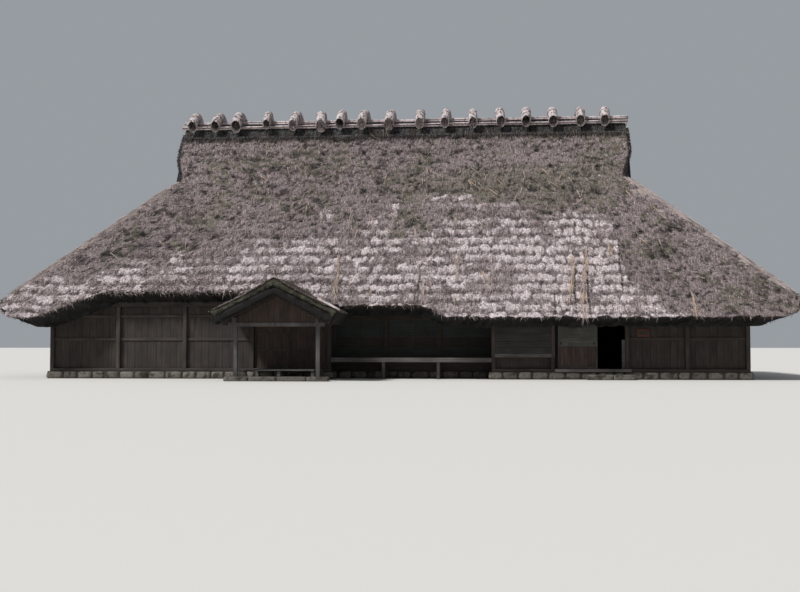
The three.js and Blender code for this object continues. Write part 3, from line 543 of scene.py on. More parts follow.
# One side of the roof as a closed slab: shaped outer face, cut face of the eave, plain underside
def addSlope(name, node, along, side, cell, material, seed):
    f = roofForm
    half = (f["eaveX"] if along == "x" else eaveY) - f["eaveCorner"]
    steps = f["cornerSteps"]
    turns = np.linspace(0, math.pi / 4, steps + 1)[1:]
    straight = np.linspace(-1, 1, int(2 * half / cell))
    t = np.concatenate([[-1] * steps, straight, [1] * steps])
    turn = np.concatenate([turns[::-1], 0 * straight, turns])
    turn = turn if along == "x" else math.pi / 2 - turn
    top = topZ if along == "x" else f["gableZ"] - gap
    pitch = f["pitch"] if along == "x" else f["endPitch"]
    levels = np.linspace(0, 1, int((top - f["eaveZ"]) / math.sin(pitch) / cell))
    x, y, _ = roofPoint(along, side, t, turn, np.full_like(t, f["eaveZ"])).T
    foot = eaveHeight(x, y)
    if along == "x":
        ragged = waver(x, 0.12, seed + 61) + 0.6 * waver(x, 0.31, seed + 62)
        foot = foot + thatchLook["ragged"] * ragged * over(-np.abs(x), -f["endRise"][1], 0.8)
    # rows rise from the curved eave and are level from the first course up
    level = f["courses"][0]
    share = levels[:, None] * (top - f["eaveZ"]) / (level - f["eaveZ"])
    z = np.where(share < 1, foot + (level - foot) * share, f["eaveZ"] + levels[:, None] * (top - f["eaveZ"]))
    outer = roofPoint(along, side, t, turn, z)
    lowest = foot - f["thickness"] * math.cos(f["pitch"])
    inner = np.stack([roofPoint(along, side, t, turn, blend(lowest, top, k), True)
                      for k in (0, 0.25, 0.6, 1)])
    face = np.stack([blend(outer[0], inner[0], k) for k in np.linspace(0, 1, 9)[1:-1]])
    shown = np.concatenate([face[::-1], outer])
    u = shown[..., 0 if along == "x" else 1]
    normal = np.cross(np.gradient(shown, axis=1), np.gradient(shown, axis=0))
    normal /= np.maximum(np.linalg.norm(normal, axis=-1, keepdims=True), 1e-9)
    normal *= np.sign(normal[..., 2].mean())
    drop, values = onThatch(shown, along, u, shown[..., 2], seed, along == "x" and side < 0)
    # painted shade: the eave's cut face is painted near black and hardly bleached
    cut = slice(len(face))
    values["hollow"][cut] = np.maximum(values["hollow"][cut], np.linspace(1, 0.82, len(face))[:, None])
    values["bleach"][cut] *= 0.1
    moved = shown - normal * drop[..., None]
    whole = np.concatenate([inner[:0:-1], inner[:1], moved])
    rows, columns = whole.shape[:2]
    index = np.arange(rows * columns).reshape(rows, columns)
    split = len(inner)
    faces = [gridFaces(index), gridFaces(index[[rows - 1, 0]])]
    for column, way in ((0, 1), (columns - 1, -1)):
        line = index[:, column]
        faces.append(strip(line[split - 1:], [*line[split - 1::-1], line[-1]])[:, ::way])
    faces = np.concatenate(faces)
    whole += [0, ridgeY, 0]
    points = whole.reshape(-1, 3)
    under = np.zeros((split, columns))
    surface = {"points": moved + [0, ridgeY, 0], "normal": normal, "face": len(face), **values}
    values = {key: np.concatenate([under, value]) for key, value in values.items()}
    # painted shade on the underside
    values["hollow"][:split] = 0.97
    upSlope = np.concatenate([whole[:split, :, 2], shown[..., 2] / math.sin(pitch)])
    addPiece(name, points, turnedOut(points, faces), material, "thatch", nodes=[node],
             across=whole[..., 0 if along == "x" else 1], along=upSlope, **values)
    return surface


# Straws are closed spikes: a three-sided foot and a tip
def addStraws(name, feet, tips, widths, material, slot, tone):
    rng = np.random.default_rng(len(feet))
    axis = unitary(tips - feet)
    one = unitary(np.cross(axis, rng.normal(size=feet.shape)))
    two = np.cross(axis, one)
    corners = [feet + widths[:, None] / 2 * (math.cos(a) * one + math.sin(a) * two)
               for a in (0, 2 * math.pi / 3, 4 * math.pi / 3)]
    points = np.stack([*corners, tips], 1).reshape(-1, 3)
    pattern = np.array([(0, 1, 3), (1, 2, 3), (2, 0, 3), (0, 2, 1)])
    faces = (pattern[None] + 4 * np.arange(len(feet))[:, None, None]).reshape(-1, 3)
    addPiece(name, points, turnedOut(points, faces), material, slot, soft=False, tone=np.repeat(tone, 4))


# The place on a grid at a row and a column that may lie between its lines
def onGrid(grid, row, column):
    i = np.minimum(row.astype(int), grid.shape[0] - 2)
    j = np.minimum(column.astype(int), grid.shape[1] - 2)
    s, t = (row - i)[:, None], (column - j)[:, None]
    return i, j, blend(blend(grid[i, j], grid[i, j + 1], t), blend(grid[i + 1, j], grid[i + 1, j + 1], t), s)


strawLook = {
    "count": {"Front": 38000, "Back": 15000, "Left": 7600, "Right": 7600},
    "length": (0.06, 0.22), "width": (0.012, 0.034), "lift": 0.04, "stray": 0.6, "sunk": 0.012,
    "tone": (0.41, 0.26), "freshShare": 0.02,
}


# Loose straws all over a slope, more of them where the grid's cells are larger
def addSlopeStraws(name, surface, count, material, seed):
    look = strawLook
    rng = np.random.default_rng(seed)
    grid, first = surface["points"], surface["face"]
    rows, columns = grid.shape[:2]
    row = first + (rows - 1 - first) * rng.uniform(0, 1, 3 * count)
    column = (columns - 1) * rng.uniform(0, 1, 3 * count)
    i, j, point = onGrid(grid, row, column)
    width = np.linalg.norm(grid[i, j + 1] - grid[i, j], axis=1)
    kept = np.flatnonzero(rng.random(3 * count) < width / width.max())[:count]
    i, j, point = i[kept], j[kept], point[kept]
    down = unitary(grid[np.maximum(i - 6, 0), j] - grid[np.minimum(i + 6, rows - 1), j])
    normal = surface["normal"][i, j]
    n = len(i)
    length = rng.uniform(*look["length"], n)
    lean = rng.normal(0, look["stray"], n)
    lift = np.abs(rng.normal(0, look["lift"], n))
    direction = unitary(down + lean[:, None] * np.cross(normal, down))
    feet = point - look["sunk"] * normal
    tips = feet + length[:, None] * direction + (lift + 0.008)[:, None] * normal
    # straws are darker where the slope is painted with shade
    tone = rng.normal(*look["tone"], n) + 0.36 * surface["bleach"][i, j] - 0.2 * surface["hollow"][i, j]
    tone = np.clip(tone, 0, 0.86)
    fresh = rng.random(n) < look["freshShare"]
    tone = np.where(fresh, rng.uniform(0.86, 1, n), tone)
    addStraws(name, feet, tips, rng.uniform(*look["width"], n), material, "thatch", tone)


streakLook = {
    "perMetre": 48, "width": 0.04, "wander": 0.035, "length": (0.2, 0.5), "stray": 130,
    # slipped bunches of the front, from X and Z at the top to X and Z at the bottom, and how fresh they look
    "bunches": [
        (-1.85, 4.27, -1.86, 2.84, 0.95), (6.15, 4.25, 5.98, 2.67, 0.98), (6.6, 4.56, 6.37, 2.12, 0.97),
        (-1.65, 6.17, -1.58, 5.27, 0.8), (-0.77, 5.69, -0.75, 5.18, 0.75), (0.7, 5.36, 0.87, 4.8, 0.8),
        (2.14, 5.66, 2.12, 5.12, 0.75), (2.31, 4.37, 2.23, 3.4, 0.85), (1.23, 3.76, 1.33, 3.35, 0.8),
        (1.12, 3.3, 1.1, 2.75, 0.85), (3.03, 3.69, 3.3, 3.11, 0.8), (3.39, 4.23, 3.42, 3.11, 0.85),
        (7.42, 4.7, 7.37, 4.15, 0.85), (9.92, 2.9, 9.99, 2.18, 0.95),
    ],
    # single twigs that lie across the courses
    "twigs": [(5.26, 7.59, 5.6, 7.13), (8.53, 4.73, 8.79, 4.41), (9.05, 6.01, 9.51, 5.33),
              (3.34, 6.75, 3.76, 6.38), (-0.34, 5.26, -0.04, 5.02), (8.18, 6.65, 8.35, 6.25)],
    "bunchWidth": (0.012, 0.026), "bunchLean": 0.085, "bunchTone": 0.16, "twigTone": 0.98, "twigWidth": 0.03,
    "strayWidth": (0.016, 0.028), "strayRun": (0.3, 0.8), "strayTone": (0.8, 1),
    "hipWidth": (0.012, 0.028), "hipTone": (0.74, 0.1), "hipOnEnd": 0.35,
    # straws that bind the hips: how many on the front's and on the back's, how far they lie from the hip
    "perHip": {-1: 3200, 1: 1200}, "hipAway": 0.36, "hipFoot": 1.05, "hipRun": (0.2, 0.8),
}


def onFront(x, z, out):
    pitch = roofForm["pitch"]
    y = ridgeY - depthAt(z)
    return np.stack([x, y - out * math.sin(pitch), z + out * math.cos(pitch)], -1)


# Bunches that have slipped down the front, twigs on it, and the longer straws that bind the hips
def addStreaks(material):
    look = streakLook
    rng = np.random.default_rng(71)
    feet, tips, tones, widths = [], [], [], []
    for x0, z0, x1, z1, fresh in look["bunches"]:
        n = int((z0 - z1) * look["perMetre"])
        share = rng.random(n)
        length = rng.uniform(*look["length"], n) / (z0 - z1)
        off = rng.normal(0, look["width"] * (0.4 + 0.9 * rng.random(n)), n)
        off = off + look["wander"] * np.sin(5 * share + 4 * x0)
        lean = rng.normal(0, look["bunchLean"], n)
        feet.append(onFront(blend(x0, x1, share) + off, blend(z0, z1, share), 0.0))
        share = share + length
        out = rng.uniform(0.01, 0.05, n)
        tips.append(onFront(blend(x0, x1, share) + off + lean, blend(z0, z1, share), out))
        tones.append(np.clip(rng.normal(fresh - 0.1, look["bunchTone"], n), 0.3, 1))
        widths.append(rng.uniform(*look["bunchWidth"], n))
    x0, z0, x1, z1 = np.array(look["twigs"]).T
    feet.append(onFront(x0, z0, 0.02))
    tips.append(onFront(x1, z1, 0.06))
    tones.append(np.full(len(x0), look["twigTone"]))
    widths.append(np.full(len(x0), look["twigWidth"]))
    n = look["stray"]
    z0 = rng.uniform(2.6, 7.8, n)
    x0 = rng.uniform(-0.92, 0.92, n) * (lengthAt(z0) - 0.6)
    run = rng.uniform(*look["strayRun"], n)
    feet.append(onFront(x0, z0, 0.0))
    tips.append(onFront(x0 + run * rng.normal(0.15, 0.35, n), z0 - 0.6 * run, rng.uniform(0.02, 0.07, n)))
    tones.append(rng.uniform(*look["strayTone"], n))
    widths.append(rng.uniform(*look["strayWidth"], n))
    for side, flank in ((1, -1), (-1, -1), (1, 1), (-1, 1)):
        n = look["perHip"][flank]
        z = rng.uniform(roofForm["eaveZ"] + look["hipFoot"], roofForm["gableZ"], n)
        away = np.abs(rng.normal(0, look["hipAway"], n))
        onEnd = rng.random(n) < look["hipOnEnd"]
        x = lengthAt(z) - 0.3 * cornerAt(z) - np.where(onEnd, 0, away)
        y = depthAt(z) - 0.3 * cornerAt(z) - np.where(onEnd, away, 0)
        run = rng.uniform(*look["hipRun"], n)
        down = np.stack([side * rng.normal(1.14, 0.3, n), flank * rng.normal(0.8, 0.12, n), 0 * z], 1)
        down[:, 2] = -np.where(onEnd, math.tan(roofForm["endPitch"]) * np.abs(down[:, 0]),
                               math.tan(roofForm["pitch"]) * np.abs(down[:, 1]))
        foot = np.stack([side * x, ridgeY + flank * y, z], 1)
        feet.append(foot)
        tips.append(foot + run[:, None] * unitary(down) + [0, 0, 1] * rng.uniform(0.0, 0.05, (n, 1)))
        tones.append(np.clip(rng.normal(*look["hipTone"], n), 0.2, 0.95))
        widths.append(rng.uniform(*look["hipWidth"], n))
    feet, tips, widths, tones = (np.concatenate(parts) for parts in (feet, tips, widths, tones))
    addStraws("slippedBunches", feet, tips, widths, material, "thatch", tones)


eaveLook = {"perMetre": 90, "length": (0.06, 0.2), "width": (0.015, 0.035), "loose": 0.18,
            "freshShare": 0.015}


# The cut ends along the eave: straws that stick out of the face and hang a little
def addEaveStraws(name, surface, material, seed):
    look = eaveLook
    rng = np.random.default_rng(seed)
    grid = surface["points"]
    face = surface["face"]
    run = np.linalg.norm(np.diff(grid[face], axis=0), axis=1).sum()
    n = int(run * look["perMetre"])
    column = rng.uniform(0, grid.shape[1] - 1.001, n)
    row = rng.uniform(0, face + 3, n)
    i, j, point = onGrid(grid, row, column)
    down = unitary(grid[face + 2, j] - grid[face + 12, j])
    loose = rng.normal(0, look["loose"], (n, 3))
    length = rng.uniform(*look["length"], n)
    feet = point - 0.05 * down
    tips = feet + (0.04 + length * np.where(i < face, 0.45, 0.3))[:, None] * (down + loose)
    tips[:, 2] -= 0.25 * length * (i < 3)
    # the straws on the cut face are painted near black as its shade, those at the top of it lighter
    top = over(i, face - 3, 4)
    tone = np.clip(rng.normal(0.02, 0.03, n) + 0.36 * top, 0, 0.84)
    fresh = rng.random(n) < look["freshShare"] * top
    tone = np.where(fresh, rng.uniform(0.88, 1, n), tone)
    addStraws(name, feet, tips, rng.uniform(*look["width"], n), material, "thatch", tone)


vergeLook = {"count": 4200, "width": (0.012, 0.03), "tone": (0.02, 0.3)}


# Straws that stick out of the thatch's cut ends at the gables
def addVergeStraws(material):
    look = vergeLook
    rng = np.random.default_rng(161)
    n = look["count"]
    side, flank = rng.choice([-1, 1], n), rng.choice([-1, 1], n)
    z = rng.uniform(roofForm["gableZ"], topZ, n)
    inset = rng.uniform(0.02, roofForm["thickness"] / math.sin(roofForm["pitch"]), n)
    y = ridgeY + flank * np.maximum(depthAt(z) - inset, 0.02)
    feet = np.stack([side * (lengthAt(z) - 0.05), y, z], 1)
    out = np.stack([side * rng.uniform(0.03, 0.06, n), rng.normal(0, 0.03, n), -rng.uniform(0.0, 0.09, n)], 1)
    addStraws("vergeStraw", feet, feet + out, rng.uniform(*look["width"], n), material, "thatch",
              rng.uniform(*look["tone"], n))


# Ridge: cap of bark and old straw, bamboo poles and bent rolls of straw
ridgeLook = {
    "capStep": 0.05, "capShag": 0.05, "capHalfTop": 0.15, "capInside": 0.545, "capInsideTop": 0.37,
    "layer": 0.17, "layerLip": 0.03,        # strips of bark lie over each other, so the face steps in
    "fringePerMetre": 240, "fringeLength": (0.12, 0.42), "fringeWidth": (0.014, 0.035),
    "fringeHeight": (0.02, 0.85), "fringeTone": (0.12, 0.13),
    "poleJoint": 0.46,          # spacing of the bamboo's joints
    "topPoleY": 0.095, "crestGap": 0.0003,      # where the two poles on the crest lie, and their clearance
    "canes": 3, "caneOver": 0.12,
    "caneRadius": 0.5, "caneOffset": 0.5,    # shares of a pole's radius: each pole is a bundle of canes
    "rollX": [-8.1, -7.17, -6.38, -5.24, -4.11, -3.17, -2.35, -1.46, -0.45, 0.7, 1.7, 2.69, 3.72, 4.74, 5.72,
              6.77, 7.71],
    "rollRadius": [.18, .18, .2, .15, .18, .21, .18, .185, .2, .18, .17, .175, .18, .18, .185, .18, .18],
    "rollRise": [0, 0, -.01, .06, .01, -.03, .03, .02, -.01, .01, .02, 0, .02, .02, 0, 0, 0],
    "rollReach": 0.735, "rollCrest": 10.065, "rollDrop": 0.52, "rollOpening": 0.06,
    "rollLean": 0.35, "rollWall": 0.03, "rollHollow": 0.24, "rollSides": 36, "rollUneven": 0.012,
    # the section of a rope, as places along the roll and depths in it
    "rope": ((-0.018, 0.012), (-0.014, -0.006), (0.014, -0.006), (0.018, 0.012)),
    "pinch": (0.05, 0.07),      # how far a rope pinches a roll and how softly
    "strawWidth": (0.014, 0.034), "strawTone": (0.2, 0.9), "strawOut": (0.02, 0.13), "strawHang": 0.1,
    # how much straw is left in the openings
    "rollFill": [.3, .2, .2, .3, .95, 1, 0, 1, .9, 1, .7, .8, .5, .1, .4, .6, .5],
    "bindings": (-0.6, -0.1, 0.5),      # where ropes go round a roll, as shares of its reach
    # cords that have come loose, as X and Z from the top to the end
    "cords": [[(-1.28, 9.5), (-1.2, 9.22), (-1.02, 9.05), (-0.78, 8.97)],
              [(-0.72, 9.42), (-0.7, 9.2), (-0.66, 9.02)], [(-0.6, 9.4), (-0.55, 9.18), (-0.47, 9.03)]],
    "cordRadius": 0.014,
}


# Cedar bark laid over old straw: matt, fibrous along the roof, blue-grey with green algae
def darkRidgeBark():
    material, tree = newMaterial("darkRidgeBark", 0.95, 1.45)
    place = addNode(tree, "TexCoord", out="Object")
    streak = addNode(tree, "Mapping", {"Vector": place, "Scale": perMetre(35.71, 200, 200)})
    fibre = addNode(tree, "TexNoise", {"Vector": streak, "Scale": 1, "Detail": 4})
    patchMm = 769.2
    patch = addNode(tree, "TexNoise", {"Vector": place, "Scale": 1000 / patchMm, "Detail": 3})
    greys = [(0.35, "#373a40"), (0.6, "#56585f"), (0.78, "#7a7c85")]
    bark = addNode(tree, "ValToRGB", {0: fibre}, stops=greys)
    green = addNode(tree, "ValToRGB", {0: fibre}, stops=[(0.35, "#272b29"), (0.7, "#424945")])
    share = addNode(tree, "MapRange", {0: patch, 1: 0.42, 2: 0.6})
    colour = addNode(tree, "Mix", {0: share, 6: bark, 7: green}, **mixing)
    return finish(material, colour, (fibre, 0.8, 0.02))


def addRidgeCap(barkMaterial, strawMaterial):
    look = ridgeLook
    low, high = boxOf("ridge_cap")
    halfFoot, halfTop, inside = (high[1] - low[1]) / 2, look["capHalfTop"], look["capInside"]
    slope = [(-blend(halfFoot, halfTop, k), blend(low[2], high[2], k)) for k in np.linspace(0, 1, 13)]
    section = slope + [(blend(-halfTop, halfTop, k), high[2]) for k in (0.25, 0.5, 0.75)]
    section += [(-y, z) for y, z in slope[::-1]]
    outer = len(section)
    topY, topInside, foot = look["capInsideTop"], topZ + 0.004, low[2] + 0.01
    section = np.array(section + [(inside, foot), (topY, topInside), (-topY, topInside), (-inside, foot)])
    along = np.arange(low[0], high[0] + 0.001, look["capStep"])
    along[-1] = high[0]
    x = np.repeat(along[:, None], len(section), 1)
    y, z = (np.broadcast_to(section[:, k], x.shape).copy() for k in (0, 1))
    arc = np.broadcast_to(0.06 * np.arange(len(section)), x.shape)
    shag = noise(x, arc, 0.11, 41) * 0.5 + noise(x, arc * 4, 0.5, 42) * 0.5
    layer = (z - low[2]) / look["layer"] + 1.6 * waver(x, 0.55, 44) + 0.5 * waver(x, 0.12, 45)
    drop = look["capShag"] * shag + look["layerLip"] * (layer - np.floor(layer))
    drop[:, outer:] = 0
    y -= np.sign(y) * drop * 0.75
    z -= drop * 0.6 * (z > low[2] + 0.08)
    points, faces = tube(np.stack([x, y + ridgeY, z], -1))
    addPiece("ridgeBarkCap", points, faces, barkMaterial, "ridge_thatch", nodes=["ridge_cap"], soft=False)

    rng = np.random.default_rng(43)
    n = 2 * int((high[0] - low[0]) * look["fringePerMetre"])
    side = rng.choice([-1, 1], n)
    height = rng.uniform(*look["fringeHeight"], n) ** 1.6        # more of it near the foot
    feet = np.stack([rng.uniform(low[0] + 0.02, high[0] - 0.02, n),
                     ridgeY + side * (blend(halfFoot, halfTop, height) - 0.03),
                     blend(low[2], high[2], height)], 1)
    run = np.stack([rng.normal(0, 0.16, n), side * (0.62 + rng.normal(0, 0.1, n)), -0.78 + 0 * height], 1)
    length = rng.uniform(*look["fringeLength"], n)
    tone = np.clip(rng.normal(*look["fringeTone"], n), 0, 0.7)
    addStraws("ridgeCapFringe", feet, feet + run * length[:, None], rng.uniform(*look["fringeWidth"], n),
              strawMaterial, "ridge_thatch", tone)


# Bamboo left outdoors: the green goes, the skin turns silver and stays slightly glossy
def silverBamboo():
    material, tree = newMaterial("silverBamboo", 0.55, 1.5)
    place = addNode(tree, "TexCoord", out="Object")
    streak = addNode(tree, "Mapping", {"Vector": place, "Scale": perMetre(833.3, 25, 25)})
    fibre = addNode(tree, "TexNoise", {"Vector": streak, "Scale": 1, "Detail": 3})
    patchMm = 454.5
    patch = addNode(tree, "TexNoise", {"Vector": place, "Scale": 1000 / patchMm, "Detail": 3})
    greys = [(0.3, "#857070"), (0.5, "#c2b3b2"), (0.72, "#e6dbda")]
    skin = addNode(tree, "ValToRGB", {0: fibre}, stops=greys)
    shade = addNode(tree, "MapRange", {0: patch, 1: 0.35, 2: 0.65, 3: 0.65, 4: 1.15})
    colour = addNode(tree, "Mix", {0: 1, 6: skin, 7: shade}, **tinting)
    # the joint value darkens the joints and paints shade inside the open ends
    joint = addNode(tree, "Attribute", out="Fac", attribute_name="joint")
    colour = addNode(tree, "Mix", {0: joint, 6: colour, 7: linear("#3a322c")}, **mixing)
    return finish(material, colour, (fibre, 0.3, 0.004))


# A bamboo pole along X with ringed joints and a short hollow at either end
def bambooPole(y, z, x0, x1, radius, seed):
    rng = np.random.default_rng(seed)
    shortest = 0.2      # a last stretch that would be shorter joins the one before it
    ringed = ((0.0, 0.9, 1), (0.02, 0.99, 0.3), (0.1, 0.95, 0), (0.5, 0.93, 0), (0.9, 0.96, 0))
    # the rings inside the open ends are painted dark, as shade in the hollow
    rings = [(x0 + 0.12, 0.7, 1), (x0, 0.72, 1)]        # each is X, share of the radius and how dark it is
    x = x0
    while x < x1:
        end = min(x + ridgeLook["poleJoint"] * rng.uniform(0.85, 1.15), x1)
        end = x1 if x1 - end < shortest else end
        rings += [(blend(x, end, share), swell, dark) for share, swell, dark in ringed]
        rings.append((end - 0.012, 1, 0.5))
        x = end
    rings += [(x1, 0.93, 0), (x1, 0.72, 1), (x1 - 0.12, 0.7, 1)]
    stations, swells, joint = np.array(rings).T
    radii = radius * swells
    angle = ringAngles(8)
    sway = 0.012 * np.sin(stations * rng.uniform(0.8, 1.8) + seed)
    rings = np.stack([np.repeat(stations[:, None], len(angle), 1), y + radii[:, None] * np.cos(angle),
                      z + sway[:, None] + radii[:, None] * np.sin(angle)], -1)
    return tube(rings), np.concatenate([np.repeat(joint, len(angle)), [1, 1]])


def addPoles(material):
    look = ridgeLook
    rng = np.random.default_rng(47)
    nodes = ["ridge_pole_front", "ridge_pole_back"]
    low, high = boxOf(nodes[0])
    radius = (high[2] - low[2]) / 2
    crestZ = capTop + radius + look["crestGap"]
    centres = [sum(boxOf(node))[1:] / 2 for node in nodes]
    centres += [(ridgeY - look["topPoleY"], crestZ), (ridgeY + look["topPoleY"], crestZ)]
    made, joints = [], []
    for y, z in centres:
        first = rng.uniform(0, 2 * math.pi)
        for around in first + ringAngles(look["canes"]):
            off = radius * look["caneOffset"]
            x0 = low[0] - look["caneOver"] * rng.uniform(0, 1)
            x1 = high[0] + look["caneOver"] * rng.uniform(0, 1)
            pole, joint = bambooPole(y + off * math.cos(around), z + off * math.sin(around), x0, x1,
                                     radius * look["caneRadius"] * rng.uniform(0.85, 1), len(made) + 3)
            made.append(pole)
            joints.append(joint)
    addPiece("ridgeBambooPoles", *merged(made), material, "bamboo", nodes=nodes, joint=np.concatenate(joints))


# Straw packed and bent into a saddle: matt stems along the roll, bleached where the weather strikes it
def packedStraw():
    material, tree = newMaterial("packedStrawRoll", 0.92, 1.45)
    around, along, board, hollow = (addNode(tree, "Attribute", out="Fac", attribute_name=name)
                                    for name in ("around", "along", "board", "hollow"))
    place = addNode(tree, "CombineXYZ", {0: around, 1: along, 2: board})
    fine = addNode(tree, "Mapping", {"Vector": place, "Scale": perMetre(16.67, 200, 33.33)})
    stems = addNode(tree, "TexNoise", {"Vector": fine, "Scale": 1, "Detail": 4, "Roughness": 0.7})
    wide = addNode(tree, "Mapping", {"Vector": place, "Scale": perMetre(90.9, 111.1, 33.33)})
    patch = addNode(tree, "TexNoise", {"Vector": wide, "Scale": 1, "Detail": 3})
    pales = [(0.3, "#7a6d6b"), (0.5, "#bcb0b0"), (0.72, "#e3dad9")]
    stains = [(0.3, "#2d2623"), (0.55, "#6f625d"), (0.75, "#a0918a")]
    pale, stained = (addNode(tree, "ValToRGB", {0: stems}, stops=stops) for stops in (pales, stains))
    share = addNode(tree, "MapRange", {0: patch, 1: 0.5, 2: 0.6})
    colour = addNode(tree, "Mix", {0: share, 6: pale, 7: stained}, **mixing)
    # painted shade inside the rolls' openings
    colour = addNode(tree, "Mix", {0: hollow, 6: colour, 7: linear("#1d1815")}, **mixing)
    return finish(material, colour, (stems, 0.8, 0.012))


def addRolls(rollMaterial, strawMaterial):
    look = ridgeLook
    reach, drop, wall = look["rollReach"], look["rollDrop"], look["rollWall"]
    rng = np.random.default_rng(51)
    sides, rolls, values = look["rollSides"], [], {"around": [], "along": [], "board": [], "hollow": []}
    ropes, feet, tips = [], [], []
    angle = ringAngles(sides)
    each = zip(look["rollX"], look["rollRadius"], look["rollRise"], look["rollFill"])
    for number, (x, radius, rise, full) in enumerate(each):
        yaw, bend = rng.normal(0, 0.05), rng.uniform(-0.05, 0.05)

        # one ring of the roll, t from -1 at the front end to 1 at the back
        def ring(t, shrink, grow):
            y = reach * t
            z = look["rollCrest"] + rise - drop * t * t
            lean = look["rollLean"] * -2 * drop * t / reach
            uneven = look["rollUneven"] * noise(angle * 3, np.full(sides, t * 9), 0.35, 60 + number)
            wide = (radius - shrink - uneven) * grow
            up = (wide + look["rollOpening"] * t * t) * np.sin(angle)
            across = wide * np.cos(angle) + yaw * y + bend * t * t
            return np.stack([x + across, ridgeY + y - up * math.sin(lean), z + up * math.cos(lean)], -1)

        inner = 1 - look["rollHollow"] * (1 - 0.85 * full) / reach
        # how dark each opening is painted, as shade in it, less where straw fills it
        dark = 1 - 0.6 * full
        opening = [(inner, 0.07, dark), (blend(inner, 1, 0.3), wall, 0.9 * dark),
                   (blend(inner, 1, 0.9), wall, 0.4 * dark), (1, 0.014, 0)]
        steps = [(-t, shrink, shade) for t, shrink, shade in opening]
        steps += [(t, 0, 0) for t in np.linspace(-0.985, 0.985, 25)] + opening[::-1]
        deep, soft = look["pinch"]
        pinch = [1 - deep * max(0, 1 - min(abs(t - b) for b in look["bindings"]) / soft) for t, _, _ in steps]
        points, faces = tube(np.stack([ring(t, shrink, grow) for (t, shrink, _), grow in zip(steps, pinch)]))
        rolls.append((points, faces))
        places, _, shades = np.repeat(steps, sides, 0).T
        values["around"].append(np.append(np.tile(angle * radius, len(steps)), [0, 0]))
        values["along"].append(np.append(places, [0, 0]))
        values["board"].append(np.full(len(points), number * 0.61))
        values["hollow"].append(np.append(shades, [dark, dark]))
        for b in look["bindings"]:
            ropes.append(tube(np.stack([ring(b + off, shrink, 0.985) for off, shrink in look["rope"]])))
        # straws inside the openings, and a few that hang out of them
        for end in (-1, 1):
            count = int(70 * full) + 14
            t = end * rng.uniform(0.72 + 0.2 * full, 0.8 + 0.17 * full, count)
            spread = rng.uniform(0, 2 * math.pi, count)
            off = 0.7 * radius * np.sqrt(rng.random(count))
            foot = np.stack([x + yaw * reach * t + off * np.cos(spread), ridgeY + reach * t,
                             look["rollCrest"] - drop * t * t + off * np.sin(spread) * 1.2], 1)
            out = np.stack([rng.normal(0, 0.03, count), end * rng.uniform(*look["strawOut"], count),
                            -rng.uniform(0, look["strawHang"], count)], 1)
            feet.append(foot)
            tips.append(foot + out)
    addPiece("bentStrawRolls", *merged(rolls), rollMaterial, "straw_roll", nodes=["ridge_rolls"],
             **{key: np.concatenate(value) for key, value in values.items()})
    around = ringAngles(6)
    radius = look["cordRadius"]
    for cord in look["cords"]:
        x, z = np.array(cord).T[..., None]
        y = ridgeY - 0.19 - (capTop - z) / math.tan(roofForm["pitch"])
        ropes.append(tube(np.stack([x + radius * np.cos(around), y + radius * np.sin(around),
                                    z + radius * np.sin(around)], -1)))
    addPiece("rollBindings", *merged(ropes), wood["oldStrawRope"], "straw_roll")
    feet, tips = np.concatenate(feet), np.concatenate(tips)
    n = len(feet)
    addStraws("strawInRolls", feet, tips, rng.uniform(*look["strawWidth"], n), strawMaterial, "straw_roll",
              rng.uniform(*look["strawTone"], n))


# Chamfered boards and timbers: one template, stretched to each box
def chamferedBox():
    corners = np.array([(i, j, k) for i in (-1, 1) for j in (-1, 1) for k in (-1, 1)], float)
    number = {tuple(c): n for n, c in enumerate(corners.astype(int))}
    signs = np.repeat(corners, 3, 0)
    inset = np.tile(1 - np.eye(3), (8, 1))
    quads = []
    for a in range(3):
        b, c = (a + 1) % 3, (a + 2) % 3

        def first(s, t, u):
            corner = [0, 0, 0]
            corner[a], corner[b], corner[c] = s, t, u
            return number[tuple(corner)] * 3

        for s in (-1, 1):
            quads.append([first(s, t, u) + a for t, u in ((-1, -1), (1, -1), (1, 1), (-1, 1))])
            for t in (-1, 1):
                one, other = first(s, t, -1), first(s, t, 1)
                quads.append([one + a, other + a, other + b, one + b])
    faces = [half for q in quads for half in ((q[0], q[1], q[2]), (q[0], q[2], q[3]))]
    faces = np.array(faces + [(3 * i, 3 * i + 1, 3 * i + 2) for i in range(8)])
    unit = signs * (1 - 0.2 * inset)
    a, b, c = (unit[faces[:, k]] for k in range(3))
    wrong = np.einsum("ij,ij->i", np.cross(b - a, c - a), a + b + c) < 0
    faces[wrong] = faces[wrong][:, ::-1]
    return signs, inset, faces


boxSigns, boxInset, boxFaces = chamferedBox()
# how far the edges of each kind of wood are taken off
chamfers = {"post": 0.012, "core": 0.01, "jamb": 0.008, "rail": 0.006, "stile": 0.005, "plank": 0.004,
            "board": 0.003, "slat": 0.002, "panel": 0.001}


# Boxes are X, Y and Z ranges. Boards warp a little: each is turned by a hair round Y.
def addBoards(name, boxes, woodName, slot, seed, kind, warp=0.0, body="house", nodes=()):
    boxes = np.array(boxes, float)
    low, high = boxes[:, ::2], boxes[:, 1::2]
    centre, half = (low + high) / 2, (high - low) / 2
    rng = np.random.default_rng(seed)
    edge = np.minimum(chamfers[kind], half.min(1) * 0.45)[:, None, None]
    x, y, z = np.moveaxis(boxSigns * (half[:, None] - edge * boxInset), -1, 0)
    turn = rng.normal(0, 1, (len(boxes), 2)) * warp / np.maximum(half.max(1), 0.2)[:, None]
    points = np.stack([x + z * turn[:, :1], y, z - x * turn[:, :1]], -1) + centre[:, None]
    faces = (boxFaces[None] + len(boxSigns) * np.arange(len(boxes))[:, None, None]).reshape(-1, 3)
    own = np.repeat(rng.random(len(boxes)), len(boxSigns))
    addPiece(name, points, faces, wood[woodName], slot, body, nodes, soft=False, board=own)


